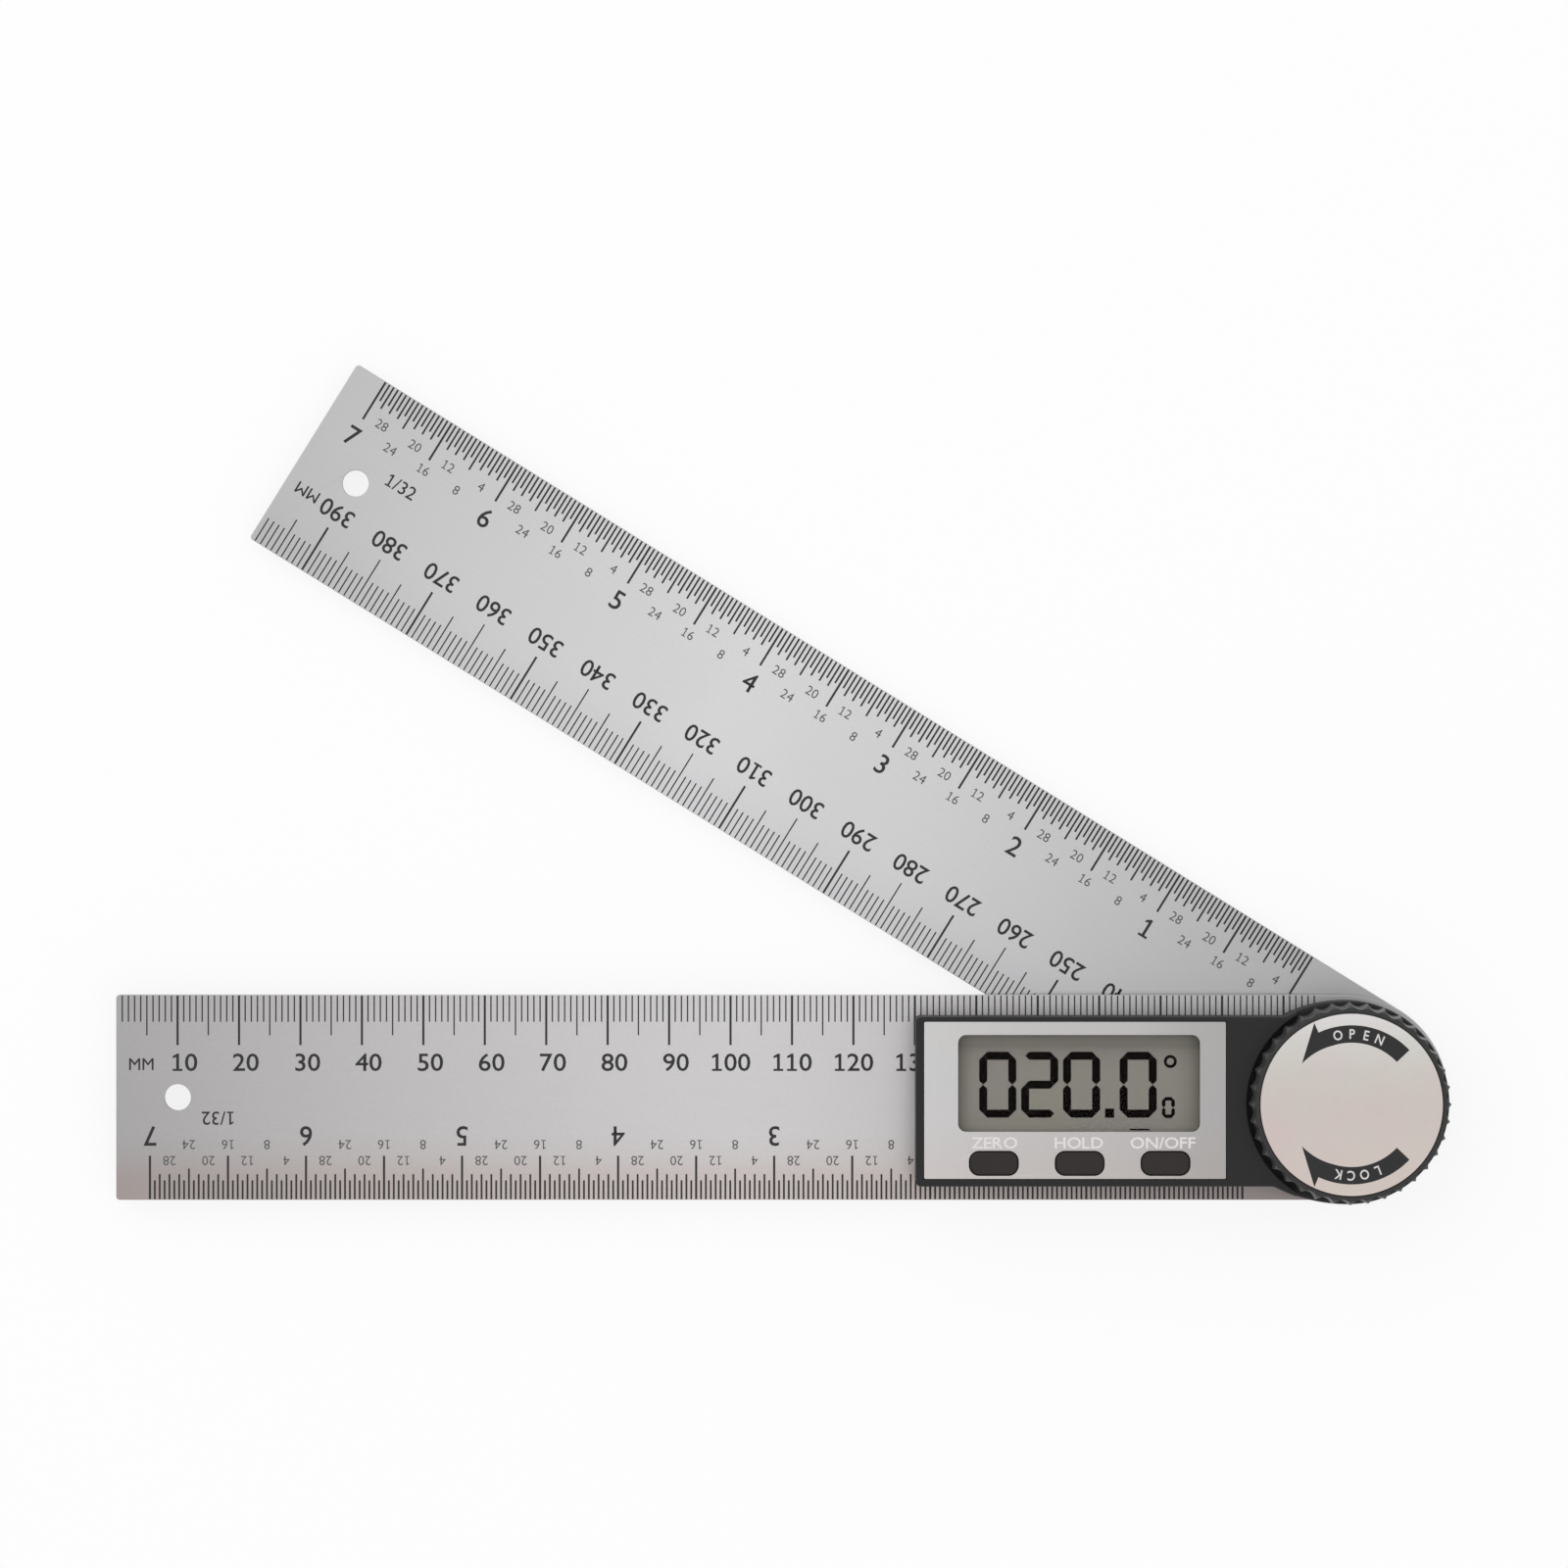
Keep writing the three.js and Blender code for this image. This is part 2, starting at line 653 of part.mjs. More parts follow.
function displayLens() {
  return plate(windowOutline(lensLap), glassFront + seatGap, glassFront + seatGap + lensThickness);
}

function lcdGlass() {
  const outline = roundedRectangle(glassLeft, glassBottom, glassRight, glassTop, plateRadius);
  return plate(outline, glassBack, glassFront);
}

function zebraStrip() {
  return new THREE.BoxGeometry(windowLength, zebraWidth, zebraHeight);
}

// The circuit board: a panel behind the display, and a ring round the pivot that senses the rotor.
function mainBoard() {
  const panel = plate(
    roundedRectangle(glassLeft, cavityBottom + 2 * fitGap, glassRight, cavityTop - 2 * fitGap, plateRadius),
    boardBack, boardFront);
  const neck = plate(
    roundedRectangle(glassRight - zebraWidth, housingLift - boardNeck / 2,
      -hubSleeveRadius, housingLift + boardNeck / 2, plateRadius),
    boardBack, boardFront);
  const senseRing = disc(boardRingRadius, boardBack, boardFront);
  const hole = disc(hubSleeveRadius + 2 * runGap, boardBack - overrun, boardFront + overrun);
  return cut(join(panel, neck, senseRing), hole);
}

// A shallow domed disc, flat side down at height zero.
function dome(radius, height) {
  const arc = Array.from({ length: domeSteps }, (_, i) => {
    const angle = (i * Math.PI) / 2 / domeSteps;
    return [radius * Math.cos(angle), height * Math.sin(angle)];
  });
  return turned([[0, 0], ...arc, [0, height]]);
}

// A key: the cap that shows, a flange that the housing's front wall holds back, and a nub over its dome.
function button() {
  const flangeBack = wallBack - seatGap - flangeThickness;
  const cap = eased(buttonOutline(0), flangeBack, housingFront + buttonProud, buttonEdge);
  const halfLength = buttonLength / 2 + flangeLap;
  const lower = cavityBottom + fitGap - buttonRow;
  const upper = buttonHeight / 2 + flangeLap;
  const flange = plate(
    roundedRectangle(-halfLength, lower, halfLength, upper, buttonRadius / 2),
    flangeBack, flangeBack + flangeThickness);
  const nubBack = boardFront + seatGap + domeHeight + seatGap + buttonTravel;
  const nub = disc(nubRadius, nubBack, flangeBack + flangeThickness / 2);
  return join(cap, flange, nub);
}

function battery() {
  return turned([
    [0, batteryBack],
    [batteryRadius - batteryRim, batteryBack],
    [batteryRadius, batteryBack + batteryRim],
    [batteryRadius, batteryFront - batteryStep - batteryRim],
    [batteryRadius - batteryRim, batteryFront - batteryStep],
    [batteryCapRadius, batteryFront - batteryStep],
    [batteryCapRadius, batteryFront],
    [0, batteryFront],
  ]);
}

// The leaf that presses on the battery's front: a bowed strip under the board.
function frontContact() {
  const half = contactLength / 2;
  const low = batteryFront + seatGap;
  const high = boardBack - seatGap;
  const profile = new THREE.Shape();
  profile.moveTo(-half, high - contactThickness);
  profile.quadraticCurveTo(0, 2 * low - high + contactThickness, half, high - contactThickness);
  profile.lineTo(half, high);
  profile.quadraticCurveTo(0, 2 * low - high + 3 * contactThickness, -half, high);
  const options = { depth: contactWidth, bevelEnabled: false, curveSegments: leafSteps };
  return new THREE.ExtrudeGeometry(profile, options).translate(0, 0, -contactWidth / 2).rotateX(Math.PI / 2);
}

// The leaf beside the battery, which stands in the well's slot and is soldered to the board.
function sideContact() {
  const foot = wellWall;
  const bottom = wellFloorFront + seatGap;
  const top = boardBack - seatGap;
  const profile = new THREE.Shape();
  profile.moveTo(0, bottom);
  profile.lineTo(contactThickness, bottom);
  profile.lineTo(contactThickness, top - contactThickness);
  profile.lineTo(foot, top - contactThickness);
  profile.lineTo(foot, top);
  profile.lineTo(0, top);
  const options = { depth: contactWidth, bevelEnabled: false };
  const leaf = new THREE.ExtrudeGeometry(profile, options).translate(0, 0, -contactWidth / 2);
  return leaf.rotateX(Math.PI / 2);
}

// The bayonet cover: a disc flush with the rule's back, a wall round the battery, and two lugs.
function batteryCover() {
  const lugBack = housingBack + seatGap / 2;
  const lugFront = lugBack + lugThickness;
  const back = fixedBack + seatGap / 2;
  const floor = moved(disc(coverRadius, back, fixedBack + coverFloor), windowMiddle, housingLift);
  const wall = moved(
    ring(batteryRadius + fitGap, coverRadius, fixedBack + coverFloor / 2, lugFront),
    windowMiddle, housingLift);
  const lugs = lugSweep(-lugSpan / 2, lugSpan / 2, lugBack, lugFront, 0);
  const slot = new THREE.BoxGeometry(coinSlotLength, coinSlotWidth, 2 * coinSlotDepth);
  slot.translate(windowMiddle, housingLift, back);
  return cut(join(floor, wall, ...lugs), slot);
}

// The knob's rim: pointed ridges with a hollow flute between each two.
function knobOutline() {
  const stepsPerTooth = 4;
  const outline = new THREE.Shape();
  for (let i = 0; i < knobTeeth * stepsPerTooth; i++) {
    const phase = (i % stepsPerTooth) / stepsPerTooth;
    const ridge = (2 * phase - 1) ** 2;
    const radius = knobRootRadius + (knobTipRadius - knobRootRadius) * ridge;
    const angle = (i * 2 * Math.PI) / (knobTeeth * stepsPerTooth);
    const point = [radius * Math.cos(angle), radius * Math.sin(angle)];
    if (i === 0) outline.moveTo(...point);
    else outline.lineTo(...point);
  }
  return outline;
}

function knob() {
  const fluted = plate(knobOutline(), knobBack, knobFront);
  const inset = knobTipRadius - knobChamfer;
  const outer = knobTipRadius + overrun;
  const rise = knobChamfer + overrun;
  const envelope = turned([
    [0, knobBack],
    [inset, knobBack],
    [outer, knobBack + rise],
    [outer, knobFront - rise],
    [inset, knobFront],
    [0, knobFront],
  ]);
  const washerPocket = disc(knobPocketRadius, knobBack - overrun, webBack);
  const faceRecess = disc(knobFaceRadius + seatGap, faceBack - seatGap, knobFront + overrun);
  const nutPocket = hexagon(nutAcrossFlats + 2 * fitGap, webFront, knobFront);
  const bore = disc(boltHoleRadius, webBack - overrun, webFront + overrun);
  return cut(common(fluted, envelope), washerPocket, faceRecess, nutPocket, bore);
}

function knobNut() {
  const blank = hexagon(nutAcrossFlats, nutBack, nutFront);
  return cut(blank, disc(boltRadius + threadGap, nutBack - overrun, nutFront + overrun));
}

function retainingClip() {
  const inner = boltRadius - clipGrooveDepth + seatGap;
  const body = ring(inner, clipRadius, clipBack, clipFront);
  const mouth = new THREE.BoxGeometry(clipRadius + overrun, clipMouth, 4 * clipThickness);
  return cut(body, mouth.translate((clipRadius + overrun) / 2, 0, (clipBack + clipFront) / 2));
}

function knobFace() {
  return disc(knobFaceRadius, faceBack, knobFront);
}

function thrustWasher() {
  return ring(boltHoleRadius, washerOuterRadius, thrustBack, thrustBack + thrustWasherThickness);
}

// A flat ring bent into waves, which springs the knob away from the housing.
function waveWasher() {
  const middle = waveBottom + waveWasherRise;
  const washer = ring(waveWasherInnerRadius, washerOuterRadius, middle, middle + waveWasherThickness);
  const at = washer.attributes.position;
  for (let i = 0; i < at.count; i++) {
    const angle = Math.atan2(at.getY(i), at.getX(i));
    at.setZ(i, at.getZ(i) + waveWasherRise * Math.cos(waveCount * angle));
  }
  washer.computeVertexNormals();
  return washer;
}

// The fixed rule with everything that is fastened to it
const fixedGroup = new THREE.Group();
fixedGroup.add(
  named("fixed_rule", fixedRule(), brushedSteel),
  named("housing", housing(), blackPlastic),
  named("inner_tray", tray(), blackPlastic),
  named("face_plate", facePlate(), silverPlate),
  named("display_lens", displayLens(), clearPlastic),
  named("lcd_glass", lcdGlass(), displayGlass),
  named("main_board", mainBoard(), boardGreen),
  named("friction_washer", frictionWasher(), nylonWhite),
  named("wave_washer", waveWasher(), brightSteel),
);
const zebraMiddle = boardFront + seatGap + zebraHeight / 2;
const upperZebra = named("zebra_strip_upper", zebraStrip(), zebraPink);
upperZebra.position.set(windowMiddle, glassTop - zebraWidth / 2, zebraMiddle);
const lowerZebra = named("zebra_strip_lower", zebraStrip(), zebraPink);
lowerZebra.position.set(windowMiddle, glassBottom + zebraWidth / 2, zebraMiddle);
const chip = named("controller_chip", dome(chipRadius, chipHeight), epoxyBlack);
chip.position.set(windowMiddle, (glassTop + glassBottom) / 2, boardFront + seatGap / 2);
fixedGroup.add(upperZebra, lowerZebra, chip);

const caseScrew = screw(caseScrewLength);
caseScrewPlaces.forEach(([x, y], i) => {
  const fastener = named(`case_screw_${i + 1}`, caseScrew, brightSteel);
  fastener.position.set(x, y, fixedBack + screwHeadSink);
  fixedGroup.add(fastener);
});

const key = button();
const dimple = dome(domeRadius, domeHeight);
["zero", "hold", "power"].forEach((use, i) => {
  const cap = named(`button_${use}`, key, keyRubber);
  cap.position.set(buttonCentres()[i], buttonRow, 0);
  const contact = named(`contact_dome_${use}`, dimple, brightSteel);
  contact.position.set(buttonCentres()[i], buttonRow, boardFront + seatGap / 2);
  fixedGroup.add(cap, contact);
});

// The battery, its contacts and its cover
const cell = named("battery", battery(), brightSteel);
cell.position.set(windowMiddle, housingLift, 0);
const frontLeaf = named("battery_front_contact", frontContact(), brass);
frontLeaf.position.set(windowMiddle, housingLift, 0);
const sideLeaf = named("battery_side_contact", sideContact(), brass);
sideLeaf.position.set(windowMiddle + wellInnerRadius + seatGap, housingLift, 0);
fixedGroup.add(cell, frontLeaf, sideLeaf, named("battery_cover", batteryCover(), blackPlastic));

// The moving rule, swung open, with the hub and the bolt that turn with it
const movingGroup = new THREE.Group();
movingGroup.rotation.z = THREE.MathUtils.degToRad(-openAngle);
movingGroup.add(
  named("moving_rule", movingRule(), brushedSteel),
  named("rear_cap", rearCap(), blackPlastic),
  named("pivot_hub", pivotHub(), brass),
  named("rotor_disc", rotorDisc(), boardGreen),
  named("clamp_bolt", clampBolt(), brightSteel),
  named("retaining_clip", retainingClip(), brightSteel),
);
const hubScrew = screw(hubScrewLength);
hubScrewAngles().forEach((angle, i) => {
  const fastener = named(`hub_screw_${i + 1}`, hubScrew, brightSteel);
  fastener.position.set(hubScrewCircle * Math.cos(angle), hubScrewCircle * Math.sin(angle), screwHeadSink);
  movingGroup.add(fastener);
});

// The lock knob and the washer that it presses on
const knobGroup = new THREE.Group();
knobGroup.add(
  named("knob", knob(), blackPlastic),
  named("knob_face", knobFace(), knobFaceSilver),
  named("knob_nut", knobNut(), brass),
  named("thrust_washer", thrustWasher(), brightSteel),
);

const angleFinder = new THREE.Group();
angleFinder.add(fixedGroup, movingGroup, knobGroup);
export default angleFinder;
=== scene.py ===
"""The looks of a digital angle finder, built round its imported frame.

Lengths are in millimetres, in the frame of the part: the pivot axis is Z, the fixed rule lies
along -X, and the back of the rear cap is at height zero. They become metres where a mesh, a lamp
or the camera is made. Colours are written as they look on a screen, from 0 to 255.
"""

from math import acos, atan2, ceil, cos, degrees, radians, sin, sqrt

import bmesh
import bpy
from mathutils import Matrix, Vector
from mathutils.geometry import tessellate_polygon


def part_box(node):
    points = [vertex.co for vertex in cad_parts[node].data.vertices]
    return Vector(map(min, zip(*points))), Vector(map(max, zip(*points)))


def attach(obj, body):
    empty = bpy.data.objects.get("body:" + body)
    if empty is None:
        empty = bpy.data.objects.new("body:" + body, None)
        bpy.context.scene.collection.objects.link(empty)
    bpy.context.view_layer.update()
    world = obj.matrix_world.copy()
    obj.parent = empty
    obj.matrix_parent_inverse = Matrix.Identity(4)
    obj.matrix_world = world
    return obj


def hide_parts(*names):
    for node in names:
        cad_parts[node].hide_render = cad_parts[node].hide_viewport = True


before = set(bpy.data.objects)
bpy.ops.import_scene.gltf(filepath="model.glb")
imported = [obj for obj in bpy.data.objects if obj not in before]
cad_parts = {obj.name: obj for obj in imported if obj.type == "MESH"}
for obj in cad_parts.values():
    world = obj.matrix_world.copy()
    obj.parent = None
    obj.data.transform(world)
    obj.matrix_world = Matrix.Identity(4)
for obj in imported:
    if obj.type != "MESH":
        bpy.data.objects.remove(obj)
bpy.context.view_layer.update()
scene = bpy.context.scene
scene.view_settings.view_transform = "Standard"

MM = 0.001


def box(node):
    """The lowest and highest corner of a node, in millimetres."""
    low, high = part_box(node)
    return low / MM, high / MM


# The photograph's view, straight down
camera_place = (-91.3, 51.6)
camera_above_rule = 925
camera_lens = 130.48
camera_sensor = 36

# Fineness of the meshes
chord_error = 0.003  # how far a chord lies inside its arc
edge_steps = 3
overrun = 1.0  # how far a cutting tool passes through the face that it opens

# The rules
open_angle = 31.8  # degrees between the two rules
rule_low, rule_high = box("fixed_rule")
arm_low, arm_high = box("moving_rule")
rule_half_width = rule_high.x
rule_lift = (rule_low.y + rule_high.y) / 2
rule_tip = rule_low.x
rule_corner = 0.6
rule_edge = 0.12
# how far up from the fixed rule's lower edge the painted housing shadow reaches
painted_shadow_width = 4
hang_hole_radius = 2.15
hang_hole_inset = 10
hub_hole_radius = 11.2
bolt_hole_radius = 2.7

# The housing, its plate and its window
knob_low, knob_high = box("knob")
plate_low, plate_high = box("face_plate")
housing_low, housing_high = box("housing")
lens_low, lens_high = box("display_lens")
glass_front = box("lcd_glass")[1].z
plate_bottom = plate_low.y - 0.13  # the plate is a little wider than the solid one
plate_top = plate_high.y + 0.14
plate_gap = 0.1
plate_corner = 0.25
plate_edge = 0.06
border_bottom = 1.26
border_top = 0.77
case_corner = 0.8
case_edge = 0.45
case_wall = 1.1
case_fillet = 1.5
wall_back = lens_low.z
wall_front = plate_low.z - plate_gap
case_bottom = plate_bottom - border_bottom
case_top = plate_top + border_top
round_middle = (-0.1, 0.05)  # the round end's own centre
round_radius = 16.45
lower_flank_radius = 26.0
upper_flank_radius = 22.5
round_front = 11.2
high_front_end = -8.6  # where the high front stops beside the knob
round_ceiling = 1.1
well_radius = 16.62
well_depth = 0.3  # how far its floor lies behind the knob
well_slope = 0.12  # how much wider the well is at the front
well_edge = 0.2
sleeve_hole_radius = 4.2
lens_lap = 0.5
lens_gap = 0.15
lens_corner = 1.3
lens_edge = 0.15
window_left = lens_low.x + lens_lap
window_right = lens_high.x - lens_lap
window_bottom = lens_low.y + lens_lap
window_top = lens_high.y - lens_lap

# The keys
key_nodes = ("button_zero", "button_hold", "button_power")
key_bodies = ("zero_key", "hold_key", "power_key")
key_length = 7.7
key_height = 3.7
key_radius = 1.5
key_row = -9.6
key_edge = 0.45
key_hole_gap = 0.15
flange_thickness = 0.7
key_nub_radius = 1.4

# The lock knob
face_low, face_high = box("knob_face")
face_trim = 0.08  # how much smaller the disc is than the solid one
face_radius = face_high.x - face_trim
knob_teeth = 36
tooth_steps = 16
knob_tip = knob_high.x
knob_depth = 0.75
knob_spread = 0.4  # how much wider the ridges are at the back
knob_crest = 0.07  # the share of a ridge that its rounded tip takes
knob_crest_bend = 4
knob_chamfer = 0.7
knob_chamfer_steps = 5
knob_recess_gap = 0.1
knob_pocket_radius = 9.4
knob_web_back = 12.45
knob_web_front = 13.3
nut_pocket_radius = 9.3 / sqrt(3)

# The back
cap_high = box("rear_cap")[1]
cap_chamfer = 0.6
cap_floor = 0.8
head_pocket_radius = 8.3 / sqrt(3)
cover_low, cover_high = box("battery_cover")
cover_middle = ((cover_low.x + cover_high.x) / 2, (cover_low.y + cover_high.y) / 2)
cover_radius = 10.95
cover_wall = 0.8
cover_floor = 1.0
cover_edge = 0.18
cover_hole_radius = 11.15
lug_radius = 12.15
lug_thickness = 0.65
lug_half_span = 12  # degrees
lug_gap = 0.2
lug_free_angle = -40  # degrees, where the lugs pass through the rule
coin_slot = (13.0, 1.8, 0.5, 0.85)  # length, width, depth and corner

# Countersunk screws
screw_head = 1.8
screw_head_height = 0.9
screw_shank = 0.9
screw_hole_gap = 0.15
screw_sink = 0.12
cross_length = 2.2
cross_width = 0.5
cross_depth = 0.5
cross_slope = ((-overrun, 1.6), (0, 1.0), (cross_depth, 0.62))  # heights and shares of its size
screw_tip = 0.3


# Outlines

def arc_steps(radius, span):
    side = 2 * acos(1 - min(chord_error / radius, 0.3))
    return max(2, ceil(abs(span) / side))


def polar(radius, angle):
    """A place at this many degrees round the origin."""
    return radius * cos(radians(angle)), radius * sin(radians(angle))


def hexagon(radius, turn=0.0):
    return [polar(radius, 30 + 60 * i + turn) for i in range(6)]


def outline(arcs, grow=0.0):
    """The points of a closed outline: arcs that straight lines join, each (x, y, radius, from, to).

    Angles are in degrees. An arc that runs backwards is hollow, so it shrinks as the outline grows.
    """
    nominal, grown = [], []
    for x, y, radius, start, end in arcs:
        span = radians(end - start)
        count = arc_steps(radius, span)
        size = radius + grow if end > start else radius - grow
        for i in range(count + 1):
            angle = radians(start) + span * i / count
            nominal.append(Vector((x + radius * cos(angle), y + radius * sin(angle))))
            grown.append((x + size * cos(angle), y + size * sin(angle)))
    return [point for i, point in enumerate(grown) if (nominal[i] - nominal[i - 1]).length > 1e-4]


def circle(x, y, radius):
    return [(x, y, radius, 0, 180), (x, y, radius, 180, 360)]


def disc(radius):
    return circle(0, 0, radius)


def rounded_rectangle(left, bottom, right, top, radius):
    return [
        (right - radius, bottom + radius, radius, -90, 0),
        (right - radius, top - radius, radius, 0, 90),
        (left + radius, top - radius, radius, 90, 180),
        (left + radius, bottom + radius, radius, 180, 270),
    ]


def rule_outline():
    top = rule_lift + rule_half_width
    bottom = rule_lift - rule_half_width
    return [
        (0, rule_lift, rule_half_width, -90, 90),
        (rule_tip + rule_corner, top - rule_corner, rule_corner, 90, 180),
        (rule_tip + rule_corner, bottom + rule_corner, rule_corner, 180, 270),
    ]


def flank(side, edge, radius, inset):
    """The arcs from a straight side into the round end: a hollow fillet, then a wide flank."""
    x, y = round_middle
    level = edge - side * inset
    flank_y = y + side * (round_radius - radius)
    rise = side * (level - flank_y) + case_fillet
    start_x = x - sqrt((radius - inset + case_fillet) ** 2 - rise**2)
    turn = degrees(atan2(rise, start_x - x))
    return [
        (start_x, level + side * case_fillet, case_fillet, side * -90, side * (turn - 180)),
        (x, flank_y, radius - inset, side * turn, side * 90),
    ]


def case_outline(inset=0.0):
    """The housing's outline: straight sides, and flanks that swell into the round pivot end."""
    corner_x = housing_low.x + inset + case_corner
    upper = flank(1, case_top, upper_flank_radius, inset)
    return [
        *flank(-1, case_bottom, lower_flank_radius, inset),
        (*round_middle, round_radius - inset, -90, 90),
        *((x, y, radius, end, start) for x, y, radius, start, end in reversed(upper)),
        (corner_x, case_top - inset - case_corner, case_corner, 90, 180),
        (corner_x, case_bottom + inset + case_corner, case_corner, 180, 270),
    ]


def cover_hole_outline():
    """The battery cover's hole in the rule, with two slots that its lugs pass through."""
    arcs = []
    for slot_angle in (lug_free_angle, lug_free_angle + 180):
        slot_end = slot_angle + lug_half_span
        arcs.append((*cover_middle, lug_radius + lug_gap, slot_angle - lug_half_span, slot_end))
        arcs.append((*cover_middle, cover_hole_radius, slot_end, slot_angle + 180 - lug_half_span))
    return arcs


def levels(bottom, top, low=0.0, high=0.0):
    """(height, growth) up the side of a plate whose lower and upper edges are rounded."""
    turns = [radians(90) * i / edge_steps for i in range(edge_steps + 1)]
    side = [(bottom, 0.0)]
    if low:
        side = [(bottom + low * (1 - cos(a)), -low * (1 - sin(a))) for a in turns]
    if high:
        side += [(top - high * (1 - cos(a)), -high * (1 - sin(a))) for a in turns[::-1]]
    else:
        side.append((top, 0.0))
    return side


def hole_levels(bottom, top, low=0.0, high=0.0):
    """The same up the side of a hole, whose rims open outwards."""
    return [(height, -growth) for height, growth in levels(bottom, top, low, high)]


# Solids

class Shell:
    """The points and faces of a mesh that is being made."""

    def __init__(self):
        self.points = []
        self.faces = []

    def ring(self, points, height):
        first = len(self.points)
        self.points.extend((x, y, height) for x, y in points)
        return range(first, len(self.points))

    def wall(self, rings, outward=True):
        for low, high in zip(rings, rings[1:]):
            for i in range(len(low)):
                face = (low[i - 1], low[i], high[i], high[i - 1])
                self.faces.append(face if outward else face[::-1])

    def sweep(self, arcs, side, outward=True):
        """The wall of an outline that grows by its (height, growth) pairs. Gives its rings."""
        rings = [self.ring(outline(arcs, growth), height) for height, growth in side]
        self.wall(rings, outward)
        return rings

    def cap(self, outer, holes=(), up=True):
        loops = (outer, *holes)
        index = [i for loop in loops for i in loop]
        outlines = [[Vector(self.points[i]) for i in loop] for loop in loops]
        for triangle in tessellate_polygon(outlines):
            corners = [index[i] for i in triangle]
            (ax, ay, _), (bx, by, _), (cx, cy, _) = (self.points[i] for i in corners)
            faces_up = (bx - ax) * (cy - ay) > (by - ay) * (cx - ax)
            self.faces.append(corners if faces_up == up else corners[::-1])

    def prism(self, points, bottom, top):
        low, high = self.ring(points, bottom), self.ring(points, top)
        self.wall([low, high])
        self.cap(low, up=False)
        self.cap(high)

    def mesh(self, name):
        made = bpy.data.meshes.new(name)
        made.from_pydata([(x * MM, y * MM, z * MM) for x, y, z in self.points], [], self.faces)
        made.validate()
        return made


def solid(arcs, side, holes=(), pockets=(), shell=None):
    """A closed solid. Its side, holes and pockets are lists of (height, growth) from the bottom up.

    Holes go right through it, and pockets are open at the top. It can go into a shell that has more.
    """
    shell = shell or Shell()
    rings = shell.sweep(arcs, side)
    through = [shell.sweep(*hole, outward=False) for hole in holes]
    blind = [shell.sweep(*pocket, outward=False) for pocket in pockets]
    for pocket in blind:
        shell.cap(pocket[0])
    shell.cap(rings[0], [hole[0] for hole in through], up=False)
    shell.cap(rings[-1], [opening[-1] for opening in through + blind])
    return shell


def block(arcs, bottom, top):
    """A solid whose sides stand upright."""
    return solid(arcs, [(bottom, 0), (top, 0)])


def put(name, data):
    """A new object in the scene."""
    item = bpy.data.objects.new(name, data)
    scene.collection.objects.link(item)
    return item


def shape_of(item):
    """The mesh that an object shows, with its modifiers or its text worked out."""
    return bpy.data.meshes.new_from_object(item.evaluated_get(bpy.context.evaluated_depsgraph_get()))


def boolean(mesh, tool, operation):
    """A mesh cut by a tool, or joined to it."""
    body, other = put("boolean_body", mesh), put("boolean_tool", tool)
    modifier = body.modifiers.new("boolean", "BOOLEAN")
    modifier.object = other
    modifier.operation = operation
    modifier.solver = "EXACT"
    result = shape_of(body)
    for item in (body, other):
        bpy.data.objects.remove(item)
    return result


def cut(mesh, *tools):
    for tool in tools:
        mesh = boolean(mesh, tool.mesh("tool"), "DIFFERENCE")
    return mesh


def join(mesh, *more):
    for extra in more:
        mesh = boolean(mesh, extra.mesh("extra"), "UNION")
    return mesh


# Materials

def colour(red, green, blue):
    """A screen colour as the shaders take it."""
    def linear(value):
        share = value / 255
        return share / 12.92 if share <= 0.04045 else ((share + 0.055) / 1.055) ** 2.4
    return (linear(red), linear(green), linear(blue), 1.0)


def grey(share):
    """A factor that other colours are multiplied by."""
    return (share, share, share, 1)


def stops(*rows):
    """Stops of a ramp from (share, red, green, blue) as on a screen, or from (share, factor)."""
    return [(share, colour(*tone) if len(tone) == 3 else grey(*tone)) for share, *tone in rows]


class Wiring:
    """Shader nodes of a material or of the world."""

    def __init__(self, tree):
        self.tree = tree

    def node(self, kind, **values):
        made = self.tree.nodes.new(kind)
        for name, value in values.items():
            setattr(made, name, value)
        return made

    def link(self, output, socket):
        self.tree.links.new(output, socket)

    def feed(self, socket, value):
        """Links or sets an input."""
        if isinstance(value, bpy.types.NodeSocket):
            self.link(value, socket)
        else:
            socket.default_value = value

    def fill(self, node, *values):
        """Feeds a node's inputs in order, and gives its first output."""
        for socket, value in zip(node.inputs, values):
            self.feed(socket, value)
        return node.outputs[0]

    def math(self, operation, *values):
        return self.fill(self.node("ShaderNodeMath", operation=operation), *values)

    def seen_directly(self):
        """One for what the camera sees, also through glass and mirrored in metal."""
        path = self.node("ShaderNodeLightPath").outputs
        seen = path["Is Camera Ray"]
        for ray in ("Is Glossy Ray", "Is Transmission Ray"):
            seen = self.math("MAXIMUM", seen, path[ray])
        return seen

    def blend(self, share, first, second, output):
        """Gives an output two shaders, mixed by a share of the second."""
        mixer = self.node("ShaderNodeMixShader")
        mixed = self.fill(mixer, share, first.outputs[0], second.outputs[0])
        self.link(mixed, self.tree.nodes[output].inputs["Surface"])


